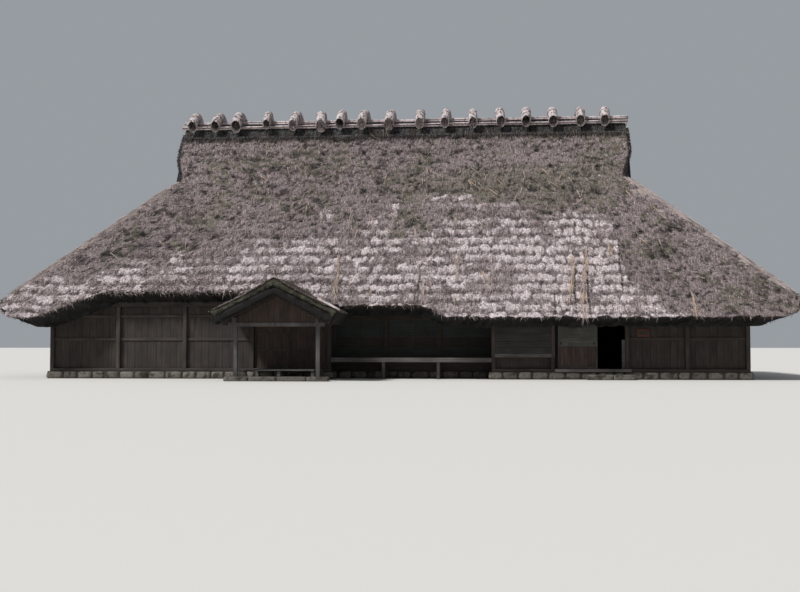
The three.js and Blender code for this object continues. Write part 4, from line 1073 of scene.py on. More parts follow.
# Splits a stretch into boards of about one width
def boardEdges(start, end, width, rng, joint=0.006):
    count = max(1, round((end - start) / width))
    inner = np.sort(np.linspace(start, end, count + 1)[1:-1] + rng.normal(0, width * 0.1, count - 1))
    edges = np.concatenate([[start], inner, [end]])
    return [(a + joint / 2, b - joint / 2) for a, b in zip(edges[:-1], edges[1:])]


# The posts of a frame, as X and Y ranges, and their top, read from the tops of its solids
def postsOf(node):
    points = np.array([v.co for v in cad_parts[node].data.vertices])
    top = points[points[:, 2] > points[:, 2].max() - 0.01]
    ranges = []
    for axis in (0, 1):
        places = np.unique(np.round(top[:, axis], 4))
        groups = np.split(places, np.flatnonzero(np.diff(places) > 0.2) + 1)
        ranges.append([(g[0], g[-1]) for g in groups])
    return [(*x, *y) for x in ranges[0] for y in ranges[1]], points[:, 2].max()


timberLook = {
    "sillTop": 0.35, "foot": 0.352, "head": 2.46, "endHead": 2.52,       # heights of sills and boards
    "boardWidth": 0.24, "boardThick": 0.018, "beside": 0.004, "sunk": 0.004, "warp": 0.001,
    "batten": 0.03, "rails": [(1.30, 1.40), (2.1, 2.19)],
    "cornerPost": 0.06,         # stands for the corner posts, where the end walls' boards begin
}
frames = ["front_frame_left", "front_frame_right", "back_frame", "left_frame", "right_frame"]


def addFrames():
    posts, sillsX, sillsY = [], [], []
    sillTop = timberLook["sillTop"]
    for node in frames:
        low, high = boxOf(node)
        places, top = postsOf(node)
        posts += [(*place, sillTop, top) for place in places]
        sills = sillsX if high[0] - low[0] > high[1] - low[1] else sillsY
        sills.append((low[0], high[0], low[1], high[1], low[2], sillTop))
    addBoards("bayPosts", posts, "weatheredDarkCedar", "timber", 61, "post", nodes=frames)
    addBoards("longSills", sillsX, "weatheredDarkCedarAlongX", "timber", 62, "post")
    addBoards("endSills", sillsY, "weatheredDarkCedarAlongY", "timber", 63, "post")


# Upright boards with rails over them, between the posts of one wall that faces out (-1 or 1)
def wallBoards(posts, face, out, head, rng, axis="x", skip=()):
    look = timberLook
    turned = (lambda along, deep: (*along, *deep)) if axis == "x" else (lambda along, deep: (*deep, *along))
    far = face + out * (look["boardThick"] + seam)
    deep = sorted((face + out * seam, far))
    proud = sorted((far + out * gap, far + out * look["batten"]))
    boards, rails = [], []
    for (_, start), (end, _) in zip(posts[:-1], posts[1:]):
        if any(start < s < end for s in skip):
            continue
        for along in boardEdges(start + look["beside"], end - look["beside"], look["boardWidth"], rng):
            sunk = rng.uniform(0, look["sunk"])
            depth = (deep[0] + sunk * (out < 0), deep[1] - sunk * (out > 0))
            boards.append((*turned(along, depth), look["foot"], head))
        rails += [(*turned((start, end), proud), *heights) for heights in look["rails"]]
    return boards, rails


def addWalls():
    look = timberLook
    rng = np.random.default_rng(71)
    boards, railsX, railsY = [], [], []
    middle = {node: sum(boxOf(node))[0] / 2
              for node in ("door_head_wall", "porch_doors", "shutter_box", "door_leaf")}
    frontFace, backFace = boxOf("front_wall_left")[0][1], boxOf("back_wall")[1][1]
    # bays where something else stands in front of the wall have no boards
    for node, face, out, skip in (
            ("front_frame_left", frontFace, -1, ["porch_doors"]),
            ("front_frame_right", frontFace, -1, ["door_head_wall", "shutter_box", "door_leaf"]),
            ("back_frame", backFace, 1, [])):
        posts = sorted({place[:2] for place in postsOf(node)[0]})
        some, rails = wallBoards(posts, face, out, look["head"], rng, skip=[middle[s] for s in skip])
        boards += some
        railsX += rails
    for node, wall, out in (("left_frame", "left_wall", -1), ("right_frame", "right_wall", 1)):
        face = boxOf(wall)[0 if out < 0 else 1][0]
        low, high = (corner[1] for corner in boxOf(node))
        posts = sorted({place[2:] for place in postsOf(node)[0]})
        posts = [(low - look["cornerPost"], low), *posts, (high, high + look["cornerPost"])]
        some, rails = wallBoards(posts, face, out, look["endHead"], rng, "y")
        boards += some
        railsY += rails
    addBoards("uprightWallBoards", boards, "weatheredWallBoards", "boards", 72, "board", look["warp"])
    addBoards("wallRails", railsX, "weatheredDarkCedarAlongX", "timber", 73, "rail")
    addBoards("endWallRails", railsY, "weatheredDarkCedarAlongY", "timber", 74, "rail")


footingLook = {
    "half": 0.175, "halfPost": 0.055,       # half the width of a run and of a post
    "core": 0.05,                           # how deep the earth lies behind the stones' faces
    "stoneWidth": 0.52, "joint": 0.004,
    "stones": {"detail": 6, "seed": 81, "roundness": 5, "rough": 0.09},
    "steps": {"detail": 13, "seed": 83, "roundness": 9, "rough": 0.05},      # flatter and more square
    "stepWidths": {"stone_step": 0.8, "porch_stone": 0.9},
}


# A cube's faces as a grid of points
def boulderPattern(count):
    line = np.linspace(-1, 1, count)
    a, b = np.meshgrid(line, line, indexing="ij")
    points, faces = [], []
    index = np.arange(count * count).reshape(count, count)
    for axis in range(3):
        for sign in (-1, 1):
            side = np.zeros((count, count, 3))
            side[..., axis], side[..., (axis + 1) % 3], side[..., (axis + 2) % 3] = sign, a, b
            faces.append(gridFaces(index)[:, ::sign] + len(points) * count * count)
            points.append(side.reshape(-1, 3))
    kept, place = np.unique(np.round(np.concatenate(points), 5), axis=0, return_inverse=True)
    return kept, place.ravel()[np.concatenate(faces)]


# Rounded blocks that bulge past their box by a little and are cut back to it, which leaves flat faces
def addStones(name, boxes, material, node, detail, seed, roundness, rough):
    rng = np.random.default_rng(seed)
    unit, faces = boulderPattern(detail)
    rounded = unit / (np.abs(unit) ** roundness).sum(1, keepdims=True) ** (1 / roundness)
    parts, own = [], []
    for box in np.array(boxes, float):
        wave = np.zeros(len(unit))
        for _ in range(6):
            wave += np.sin(rounded @ rng.normal(0, 3.2, 3) + rng.uniform(0, 6)) / 6
        local = np.clip(rounded * (1.06 - rough + rough * wave[:, None]), -1, 1)
        low, high = box[::2], box[1::2]
        parts.append(((low + high) / 2 + local * (high - low) / 2, faces))
        own.append(np.full(len(unit), rng.random()))
    points, faces = merged(parts)
    addPiece(name, points, turnedOut(points, faces), material, "stone", nodes=[node],
             board=np.concatenate(own))


# Granite and river stone, split and laid dry: grainy, matt, with dust and lichen
def fieldStone():
    material, tree = newMaterial("layFieldStone", 0.9, 1.52)
    gritMm, patchMm = 16.67, 250        # the grit is coarser than real grains, which wouldn't show
    place = addNode(tree, "TexCoord", out="Object")
    grit = addNode(tree, "TexNoise", {"Vector": place, "Scale": 1000 / gritMm, "Detail": 5})
    patch = addNode(tree, "TexNoise", {"Vector": place, "Scale": 1000 / patchMm, "Detail": 4})
    greys = [(0.3, "#4c4844"), (0.5, "#69645e"), (0.7, "#857f77")]
    lichen = [(0.35, "#8a8170"), (0.5, "#ffffff"), (0.7, "#c9c2b2")]
    base = addNode(tree, "ValToRGB", {0: grit}, stops=greys)
    stain = addNode(tree, "ValToRGB", {0: patch}, stops=lichen)
    board = addNode(tree, "Attribute", out="Fac", attribute_name="board")
    each = addNode(tree, "MapRange", {0: board, 3: 0.7, 4: 1.15})
    colour = addNode(tree, "Mix", {0: 1, 6: base, 7: stain}, **tinting)
    colour = addNode(tree, "Mix", {0: 1, 6: colour, 7: each}, **tinting)
    return finish(material, colour, (patch, 0.6, 0.03), (grit, 0.4, 0.004))


def addFooting(stone):
    look = footingLook
    (x0, y0, _), (x1, y1, top) = boxOf("footing")
    half, wide, joint = look["half"], 2 * look["half"], look["joint"]
    inner = boxOf("screen_frame")
    innerY = inner[0][1] + look["halfPost"]
    leftX, rightX = inner[0][0] + look["halfPost"], inner[1][0] - look["halfPost"]
    rng = np.random.default_rng(82)
    alongX = [(x0, leftX + half, y0, y0 + wide), (rightX - half, x1, y0, y0 + wide),
              (leftX + half, rightX - half, innerY - half, innerY + half), (x0, x1, y1 - wide, y1)]
    alongY = [(x0, x0 + wide, y0 + wide, y1 - wide), (x1 - wide, x1, y0 + wide, y1 - wide),
              (leftX - half, leftX + half, y0 + wide, innerY + half),
              (rightX - half, rightX + half, y0 + wide, innerY + half)]
    boxes = [(a, b, *run[2:], 0, top)
             for run in alongX for a, b in boardEdges(*run[:2], look["stoneWidth"], rng, joint)]
    boxes += [(*run[:2], a, b, 0, top)
              for run in alongY for a, b in boardEdges(*run[2:], look["stoneWidth"], rng, joint)]
    addStones("footingStones", boxes, stone, "footing", **look["stones"])
    core = look["core"]
    cores = [(a + core, b - core, c + core, d - core, 0, top) for a, b, c, d in alongX + alongY]
    addBoards("footingEarthCore", cores, "packedEarth", "stone", 84, "core")
    for node, name in (("stone_step", "entranceStepStone"), ("porch_stone", "porchStepStones")):
        low, high = boxOf(node)
        slabs = [(a, b, low[1], high[1], low[2], high[2])
                 for a, b in boardEdges(low[0], high[0], look["stepWidths"][node], rng, joint)]
        addStones(name, slabs, stone, node, **look["steps"])


# Veranda floor, and screens in pairs behind it, the leaves of each pair one behind the other as sliding
# screens lie
verandaLook = {
    "board": {"width": 0.13, "thick": 0.038, "joint": 0.005},
    "edgeBoard": 0.095, "edgeFoot": 0.57,
    "halfJoist": 0.045, "joists": 7, "joistFoot": 0.6,
    "halfLeg": 0.05, "halfPost": 0.055, "legFromWall": 0.15,
    "rail": 0.045, "stile": 0.04, "overlap": 0.02, "lowRail": 1.02, "middleRail": 1.43,
    "bars": 3, "crossBars": 2, "halfBar": (0.008, 0.007),
    "overLintel": 2.172, "headBoard": {"width": 0.2, "joint": 0.004}, "headInset": 0.06,
}


def addVeranda():
    look = verandaLook
    rng = np.random.default_rng(91)
    (x0, y0, _), (x1, y1, top) = boxOf("veranda_floor")
    board, edge, leg = look["board"], look["edgeBoard"], look["halfLeg"]
    boards = [(x0, x1, a, b, top - board["thick"], top)
              for a, b in boardEdges(y0 + edge + 0.005, y1, board["width"], rng, board["joint"])]
    boards.append((x0, x1, y0, y0 + edge, look["edgeFoot"], top))
    half, under = look["halfJoist"], top - board["thick"] - 0.002
    joists = [(x - half, x + half, y0 + edge + 0.002, y1, look["joistFoot"], under)
              for x in np.linspace(x0 + leg, x1 - leg, look["joists"])]
    addBoards("verandaFloorBoards", boards, "bleachedCedarAlongX", "pale_timber", 92, "plank",
              nodes=["veranda_floor"])
    screens = [f"veranda_screen_{k}" for k in (1, 2, 3)]
    legs, back = [], y1 - look["legFromWall"]
    for node in screens[:2]:
        x = boxOf(node)[1][0] + look["halfPost"]
        legs += [(x - leg, x + leg, y0 + 0.005, y0 + edge, 0, look["edgeFoot"] - seam),
                 (x - leg, x + leg, back - 2 * leg, back, 0, look["joistFoot"] - seam)]
    addBoards("verandaJoistsAndLegs", joists + legs, "weatheredDarkCedarAlongX", "timber", 93, "rail")

    bars, panels, middles = [], [], []
    rail, stile = look["rail"], look["stile"]
    for node in screens:
        low, high = boxOf(node)
        middle, depth = (low[0] + high[0]) / 2, (high[1] - low[1]) / 2
        leaves = (low[0], middle + look["overlap"]), (middle - look["overlap"], high[0])
        for leaf, (x0, x1) in enumerate(leaves):
            y0 = low[1] + leaf * depth
            y1 = y0 + depth - seam
            rails = [low[2], look["lowRail"], look["middleRail"], high[2] - rail]
            bars += [(x0, x0 + stile, y0, y1, low[2], high[2]), (x1 - stile, x1, y0, y1, low[2], high[2])]
            inner = (x0 + stile + gap, x1 - stile - gap)
            bars += [(*inner, y0 + seam, y1 - seam, z, z + rail) for z in rails]
            for part, (z0, z1) in zip((panels, middles, panels), zip(rails[:-1], rails[1:])):
                part.append((*inner, y0 + 0.006, y1 - 0.006, z0 + rail + gap, z1 - gap))
            upper = (rails[2] + rail + gap, rails[3] - gap)
            upright, across = look["halfBar"]
            bars += [(x - upright, x + upright, y0 + 0.001, y0 + 0.0055, *upper)
                     for x in np.linspace(*inner, look["bars"] + 2)[1:-1]]
            bars += [(*inner, y0 + 0.0012, y0 + 0.0052, z - across, z + across)
                     for z in np.linspace(*upper, look["crossBars"] + 2)[1:-1]]
    addBoards("screenFrames", bars, "weatheredDarkCedar", "timber", 94, "slat", nodes=screens)
    addBoards("screenUpperPanels", panels, "dustyScreenPanels", "screen", 95, "panel")
    addBoards("screenMiddleBoards", middles, "paintedShadeBoardsAlongX", "boards", 96, "panel")
    (x0, y0, _), (x1, _, top) = boxOf("screen_frame")
    board, inset = look["headBoard"], look["headInset"]
    above = [(x0 + inset, x1 - inset, y0 + 0.036, y0 + 0.0545, a, b)
             for a, b in boardEdges(look["overLintel"], top - inset, board["width"], rng, board["joint"])]
    addBoards("boardsOverScreens", above, "paintedShadeBoardsAlongX", "boards", 97, "board")


# Shutter box: wide boards laid on edge between two stiles, a pale board at the foot
shutterLook = {"stile": 0.11, "board": 0.21, "boardThick": 0.022, "sunk": 0.008, "top": 0.05, "foot": 0.13,
               "batten": (1.385, 1.41), "warp": 0.0005}


def addShutterBox():
    look = shutterLook
    rng = np.random.default_rng(101)
    (x0, y0, z0), (x1, y1, z1) = boxOf("shutter_box")
    a, b = x0 + look["stile"], x1 - look["stile"]
    face = y0 + look["sunk"]
    back = face + look["boardThick"]
    boards = [(a, b, face, back, *edges)
              for edges in boardEdges(z0 + look["foot"], z1 - look["top"], look["board"], rng)]
    addBoards("shutterBoxBoards", boards, "greyShutterBoards", "pale_timber", 102, "board", look["warp"],
              nodes=["shutter_box"])
    rim = [
        (x0, a - seam, y0, y1, z0, z1), (b + seam, x1, y0, y1, z0, z1),
        (a, b, y0, y1, z1 - look["top"] + seam, z1), (a, b, back + seam, y1, z0, z0 + look["top"]),
        (a, b, y0 + 0.002, face - seam, *look["batten"]),
    ]
    addBoards("shutterBoxRim", rim, "weatheredDarkCedar", "timber", 103, "plank")
    foot = [(a, b, y0, back, z0, z0 + look["foot"] - 0.005)]
    addBoards("shutterBoxFootBoard", foot, "bleachedCedarAlongX", "pale_timber", 104, "plank")


# Door leaf: upright boards below, wide boards above the middle rail, two pulls
doorLook = {
    "foot": 0.356, "stile": 0.085, "rail": 1.10, "footRail": 0.1, "topRail": 0.06,
    "board": {"width": 0.13, "joint": 0.004}, "upperBoard": {"width": 0.31, "joint": 0.003},
    "runner": (0.09, 0.21),     # what runs in the track, from either edge
    "upperThick": 0.012, "patch": (0.10, 0.34, 0.03, 0.19),
    "pullFromLeft": 0.11, "pullFromRight": 0.12, "pullHeight": 0.10, "pullTall": 1.25, "pullSides": 20,
    # rings of a pull, each as its size and how far it stands out
    "pull": ((0.03, 0.012), (0.034, 0.019), (0.034, 0.026), (0.02, 0.026), (0.017, 0.0215)),
}


def addDoor():
    look = doorLook
    rng = np.random.default_rng(111)
    (left, y0, floor), (right, y1, top) = boxOf("door_leaf")
    foot, rail, thick = look["foot"], look["rail"], look["upperThick"]
    x0, x1 = left + look["stile"], right - look["stile"]
    front, back = y0 + 0.008, y1 - 0.004
    board, upperBoard = look["board"], look["upperBoard"]
    lower = [(a, b, front, back, foot + look["footRail"], rail - seam)
             for a, b in boardEdges(x0 + seam, x1 - seam, board["width"], rng, board["joint"])]
    addBoards("doorLowerBoards", lower, "weatheredDoorBoards", "door_boards", 112, "board", body="door",
              nodes=["door_leaf"])
    between = (x0 + gap, x1 - gap, y0 + seam, y1 - seam)
    near, far = look["runner"]
    rim = [
        (left, x0, y0, y1, foot, top), (x1, right, y0, y1, foot, top),
        (*between, foot, foot + look["footRail"] - seam), (*between, top - look["topRail"], top),
        (left + near, left + far, y0, y1, floor, foot - gap),
        (right - far, right - near, y0, y1, floor, foot - gap),
    ]
    addBoards("doorStiles", rim, "weatheredDarkCedar", "door_boards", 113, "stile", body="door")
    upper = [(left + 0.012, right - 0.012, y0 - thick, y0 - gap, a, b)
             for a, b in boardEdges(rail, top - 0.01, upperBoard["width"], rng, upperBoard["joint"])]
    upper.append((x0 + gap, x1 - gap, y0 + 0.012, back, rail + seam, top - look["topRail"] - seam))
    a, b, c, d = look["patch"]
    upper.append((left + a, left + b, y0 - thick - 0.005, y0 - thick - gap, rail + c, rail + d))
    addBoards("doorUpperBoards", upper, "paintWornDoorBoard", "door_boards", 114, "slat", body="door")
    angle = ringAngles(look["pullSides"])
    z = rail + look["pullHeight"]
    size, out = np.array(look["pull"]).T[..., None]
    pulls = [tube(np.stack([x + size * np.cos(angle), y0 - out + 0 * angle,
                            z + look["pullTall"] * size * np.sin(angle)], -1))
             for x in (left + look["pullFromLeft"], right - look["pullFromRight"])]
    addPiece("doorPulls", *merged(pulls), wood["rustedIronPull"], "door_boards", "door")


entranceLook = {
    "trackFront": 0.045, "thresholdFront": 0.058, "backRail": 0.02, "trackDepth": 0.03,
    # X and Z ranges of the plate on the wall and of its middle, and how far each stands out
    "plate": (8.22, 8.63, 1.42, 1.69), "plateOut": 0.022,
    "middle": (8.29, 8.56, 1.50, 1.61), "middleOut": 0.025,
}


def addEntrance():
    look = entranceLook
    dark, pale = "weatheredDarkCedarAlongX", "bleachedCedarAlongX"

    # two rails with a bed between them that starts at floor and ends at top
    def rails(node, front, floor, top):
        (x0, y0, z0), (x1, y1, z1) = boxOf(node)
        back = y1 - look["backRail"]
        return [(x0, x1, y0, y0 + front, z0, z1), (x0, x1, back, y1, z0, z1),
                (x0, x1, y0 + front + gap, back - gap, z0 + floor, z1 - top)]

    track = rails("door_track", look["trackFront"], look["trackDepth"], 0)
    addBoards("doorTrackRails", track, dark, "timber", 121, "plank", nodes=["door_track"])
    groove = rails("threshold", look["thresholdFront"], 0, 0.0002)
    addBoards("grooveThreshold", groove, pale, "pale_timber", 122, "plank", nodes=["threshold"])
    low, high = boxOf("low_jamb")
    addBoards("lowJambPost", [np.stack([low, high], 1).ravel()], pale, "pale_timber", 123, "jamb",
              nodes=["low_jamb"])
    face = boxOf("front_wall_right")[0][1] - timberLook["boardThick"] - 2 * seam
    x0, x1, z0, z1 = look["plate"]
    plate = [(x0, x1, face - look["plateOut"], face - gap, z0, z1)]
    addBoards("reddishWallPlate", plate, "reddishPlateBoard", "door_boards", 124, "stile")
    x0, x1, z0, z1 = look["middle"]
    middle = [(x0, x1, face - look["middleOut"], face - look["plateOut"] - gap, z0, z1)]
    addBoards("plateMiddle", middle, "weatheredWallBoards", "pale_timber", 125, "panel")


# Porch: its own small thatch, straws over it, a cane on the verge, gable boards, doors and floor
porchLook = {
    "backY": -5.1, "eaveZ": 2.24, "thick": 0.5, "sag": 0.06, "slopeSteps": 40, "cell": 0.06,
    "shag": 0.04, "shagSizes": ((0.1, 131), (0.3, 132)),        # sizes of its waves, each with a seed
    # rings that round the verge off, each as how far it draws in and how far it lies back
    "verge": ((0.9, 0), (0.6, 0), (0.28, 0), (0.1, 0.02), (0.03, 0.06)), "vergeCore": 0.25,
    "straws": 7500, "length": (0.1, 0.3), "width": (0.012, 0.03),
    "shadeTone": (0.05, 0.4), "sunTone": (0.3, 0.8),        # of the right slope and of the left
    "vergeStraws": 5200, "vergeWidth": (0.012, 0.028), "vergeTone": (0.0, 0.3),
    "caneShares": (0.68, 0.8, 0.92, 1.02), "caneRadius": 0.035, "caneLift": 0.03,
}


# The porch roof's middle, front and apex, half its width, its rise and its pitch
def porchForm():
    left, right = boxOf("porch_roof_left"), boxOf("porch_roof_right")
    middle, apex = (left[1][0] + right[0][0]) / 2, right[1][2]
    halfWidth, rise = right[1][0] - middle, apex - porchLook["eaveZ"]
    return middle, right[0][1], apex, halfWidth, rise, math.atan2(rise, halfWidth)


def addPorchRoof(reedMaterial):
    look = porchLook
    middle, front, apex, halfWidth, rise, pitch = porchForm()
    back, thick, count = ridgeY + look["backY"], look["thick"], look["slopeSteps"]
    eave = np.array([halfWidth, look["eaveZ"]])
    inward = np.array([-math.sin(pitch), -math.cos(pitch)]) * thick
    inner, high = eave + inward, apex - thick / math.cos(pitch)
    half = [(s * halfWidth, apex - s * rise) for s in np.linspace(0, 1, count)]
    half += [tuple(eave + inward * s) for s in np.linspace(0, 1, 9)[1:]]
    half += [(s * inner[0], blend(high, inner[1], s)) for s in np.linspace(0, 1, 10)[:-1][::-1]]
    half = np.array(half)
    n = len(half)
    half[:count, 1] -= look["sag"] * np.sin(math.pi * half[:count, 0] / halfWidth)
    ring = np.concatenate([half, half[-2:0:-1] * [-1, 1]])
    along = np.concatenate([[front] * len(look["verge"]), np.arange(front, back, look["cell"]), [back]])
    x, z = (np.broadcast_to(ring[:, k], (len(along), len(ring))).copy() for k in (0, 1))
    x += middle
    y = np.broadcast_to(along[:, None], x.shape).copy()
    arc = np.cumsum(np.linalg.norm(np.diff(ring, axis=0, prepend=ring[:1]), axis=1))
    arc = np.broadcast_to(arc, x.shape)
    upper = np.zeros(len(ring), bool)
    upper[:count] = upper[1 - count:] = True
    shag = look["shag"] * sum(noise(y, arc, *wave) * 0.5 for wave in look["shagSizes"]) * upper
    x -= shag * np.where(np.abs(ring[:, 0]) < 0.02, 0, np.sign(ring[:, 0]) * math.sin(pitch))
    z -= shag * math.cos(pitch)
    for k, (inset, deep) in enumerate(look["verge"]):
        within = halfWidth - look["vergeCore"]
        coreX = middle + np.clip(x[k] - middle, -within, within)
        coreZ = np.interp(np.abs(x[k] - middle), [0, halfWidth], [
            apex - thick / 2 / math.cos(pitch), look["eaveZ"] - thick / 2 * math.cos(pitch)])
        x[k], z[k] = blend(x[k], coreX, inset), blend(z[k], coreZ, inset)
        y[k] = front + deep + 0.03 * noise(x[k], z[k], 0.08, 133)
    index = np.arange(x.size).reshape(x.shape)
    top = [*range(1 - count, 0), *range(count)]
    beneath = [1 - count, *range(-count, -n + 1, -1), *range(n - 1, count - 2, -1)]
    faces = [gridFaces(np.concatenate([index, index[:, :1]], 1))]
    faces += [strip(line[top], line[beneath])[:, ::way] for line, way in ((index[0], 1), (index[-1], -1))]
    points = np.stack([x, y, z], -1).reshape(-1, 3)
    # the right slope is mossier and darker and the left paler: part moss, part painted shade on the right and
    # painted sunlight on the left
    right, verge = smooth((x - middle + 0.1) / 0.3), smooth((front + 0.12 - y) / 0.08)
    mossy = 0.75 + 0.5 * (noise(y, arc, 0.3, 134) - 0.5) + 0.9 * (y < front + 0.3)
    # painted shade on the eaves' cut faces and the underside, in dark spots on the slopes and on the verge
    hollow = np.where(upper, 0.5 * over(noise(y, arc, 0.25, 136), 0.66, 0.1), 0.9)
    addPiece("porchThatch", points, turnedOut(points, np.concatenate(faces)), reedMaterial, "thatch",
             nodes=["porch_roof_left", "porch_roof_right"], across=y, along=arc,
             mossy=np.maximum(np.clip(right * mossy, 0, 1), 0.9 * verge),
             bleach=(1 - right) * (0.25 + 0.5 * noise(y, arc, 0.4, 135)) * upper * (1 - verge),
             hollow=np.maximum(hollow, verge * (0.35 + 0.5 * noise(x, z * 3, 0.3, 137))))


# Straws on both slopes, and the cut ends of the verge and the eaves
def addPorchStraws(material):
    look = porchLook
    middle, front, apex, halfWidth, rise, pitch = porchForm()
    rng = np.random.default_rng(137)
    n = look["straws"]
    side = rng.choice([-1, 1], n)
    share = rng.random(n)
    z = apex - share * rise - look["sag"] * np.sin(math.pi * share) - 0.02
    feet = np.stack([middle + side * share * halfWidth,
                     rng.uniform(front + 0.03, ridgeY + look["backY"] - 0.25, n), z], 1)
    slope = np.stack([side * math.cos(pitch), rng.normal(0, 0.35, n), np.full(n, -math.sin(pitch))], 1)
    tips = feet + slope * rng.uniform(*look["length"], n)[:, None]
    tips[:, 2] += rng.uniform(0.02, 0.05, n)
    reach = halfWidth + 0.02
    tips[:, 0] = np.clip(tips[:, 0], middle - reach, middle + reach)
    tone = np.where(side > 0, rng.uniform(*look["shadeTone"], n), rng.uniform(*look["sunTone"], n))
    addStraws("porchLooseStraw", feet, tips, rng.uniform(*look["width"], n), material, "thatch", tone)

    n = look["vergeStraws"]
    side = rng.choice([-1, 1], n)
    share, depth = rng.random(n), rng.random(n) * look["thick"]
    feet = np.stack([middle + side * share * (halfWidth - depth * math.sin(pitch)), np.full(n, front + 0.07),
                     apex - share * rise - depth / blend(math.cos(pitch), 1, share)], 1)
    out = [rng.normal(0, 0.03, n), rng.uniform(0, 0.03, n) - 0.075, rng.normal(-0.03, 0.03, n)]
    tone = rng.uniform(*look["vergeTone"], n) + 0.3 * (depth < 0.03)        # the topmost are bleached
    addStraws("porchVergeStraw", feet, feet + np.stack(out, 1), rng.uniform(*look["vergeWidth"], n), material,
              "thatch", tone)


# A cane that holds the verge down near the right eave
def addPorchCane(material):
    look = porchLook
    middle, front, apex, halfWidth, rise, pitch = porchForm()
    share = np.array(look["caneShares"])[:, None]
    radius, angle = look["caneRadius"], ringAngles(9)
    points, faces = tube(np.stack([
        middle + share * halfWidth + radius * math.sin(pitch) * np.cos(angle),
        front + 0.02 + radius * np.sin(angle) + 0 * share,
        apex - share * rise + look["caneLift"] + radius * math.cos(pitch) * np.cos(angle)], -1))
    addPiece("porchVergeCane", points, faces, material, "bamboo", joint=np.zeros(len(points)))


porchWoodLook = {
    "gableBoard": {"width": 0.17, "joint": 0.004}, "gableThick": 0.012,
    "doorFoot": 0.36, "doorThick": 0.028, "doorStep": 0.03, "besideDoors": 0.07, "overlap": 0.03,
    "stile": 0.07, "rails": (0.95, 1.5), "panel": {"width": 0.14, "joint": 0.003},
    "deckBoard": {"width": 0.16, "joint": 0.005}, "deckThick": 0.045, "halfLeg": 0.05, "frontLegs": 0.1,
}


def addPorchWood():
    look = porchWoodLook
    middle, *_, pitch = porchForm()
    rng = np.random.default_rng(141)
    low, high = boxOf("porch_gable")
    board, boards = look["gableBoard"], []
    for a, b in boardEdges(low[0], high[0], board["width"], rng, board["joint"]):
        reach = max(abs(a - middle), abs(b - middle))
        top = high[2] - reach * math.tan(pitch)
        boards.append((a, b, low[1] - look["gableThick"], low[1] - gap, low[2], top))
    addBoards("porchGableBoards", boards, "weatheredDoorBoards", "door_boards", 142, "slat")
    (left, face, _), (right, _, top) = boxOf("porch_doors")
    split, stile, panel = (left + right) / 2, look["stile"], look["panel"]
    bars, panels = [], []
    leaves = ((left + look["besideDoors"], split + look["overlap"]),
              (split - look["overlap"], right - look["besideDoors"]))
    for k, (x0, x1) in enumerate(leaves):
        y1 = face - seam - look["doorStep"] * k
        y0 = y1 - look["doorThick"]
        z0, z1 = look["doorFoot"], top - 0.01
        bars += [(x0, x0 + stile, y0, y1, z0, z1), (x1 - stile, x1, y0, y1, z0, z1)]
        rails = (z0, *look["rails"], z1 - stile)
        bars += [(x0 + stile + gap, x1 - stile - gap, y0 + seam, y1 - seam, z, z + stile) for z in rails]
        for a, b in boardEdges(x0 + stile + seam, x1 - stile - seam, panel["width"], rng, panel["joint"]):
            panels += [(a, b, y0 + 0.01, y1 - 0.006, below + stile + gap, above - gap)
                       for below, above in zip(rails[:-1], rails[1:])]
    addBoards("porchDoorFrames", bars, "weatheredDarkCedar", "timber", 143, "board")
    addBoards("porchDoorPanels", panels, "weatheredDoorBoards", "door_boards", 144, "slat")
    (x0, y0, _), (x1, y1, top) = boxOf("porch_floor")
    board, under, leg = look["deckBoard"], top - look["deckThick"], look["halfLeg"]
    deck = [(x0, x1, a, b, under, top) for a, b in boardEdges(y0, y1, board["width"], rng, board["joint"])]
    deck += [(x - leg, x + leg, y - leg, y + leg, 0, under - gap)
             for x in (x0 + leg, (x0 + x1) / 2, x1 - leg) for y in (y0 + look["frontLegs"], y1 - leg)]
    addBoards("porchFloorBoards", deck, "bleachedCedarAlongX", "pale_timber", 145, "plank",
              nodes=["porch_floor"])


# Gables: upright boards that follow the verge, with two rails over them
gableLook = {"board": {"width": 0.2, "joint": 0.008}, "thick": 0.02, "railOut": 0.06, "railTall": 0.09,
             "rails": (0.15, 0.85), "shortest": 0.1, "inset": 0.02}


def addGableBoards():
    look = gableLook
    board, inset = look["board"], look["inset"]
    rng = np.random.default_rng(151)
    boards = []
    for node, out in (("gable_left", -1), ("gable_right", 1)):
        low, high = boxOf(node)
        face = low[0] if out < 0 else high[0]
        steep = (high[2] - low[2]) / (high[1] - ridgeY)
        depth = sorted((face + out * seam, face + out * look["thick"]))
        for a, b in boardEdges(low[1] + inset, high[1] - inset, board["width"], rng, board["joint"]):
            top = high[2] - max(abs(a - ridgeY), abs(b - ridgeY)) * steep - 0.01
            if top > low[2] + look["shortest"]:
                boards.append((*depth, a, b, low[2], top))
        depth = sorted((face + out * (look["thick"] + gap), face + out * look["railOut"]))
        for z in low[2] + np.array(look["rails"]):
            reach = (high[2] - z - 0.12) / steep - 0.03
            boards.append((*depth, ridgeY - reach, ridgeY + reach, z, z + look["railTall"]))
    addBoards("gableBoards", boards, "sootedGableBoards", "boards", 152, "board")


# Light, floor and camera; the camera's place and turn are the photo's
studio = {
    "floor": "#cecbc5", "floorReach": 400, "floorZ": -0.002, "sky": "#dfe6ee", "skyStrength": 0.42,
    "sunStrength": 3.6, "sunAngle": 12, "sunTurn": 48, "sunHeight": 50,
    "cameraPlace": (3.35, -41.18, 1.15), "lens": 49.5, "sensor": 36, "turn": 4.7, "tilt": 2.55,
    "sight": 1000,
}


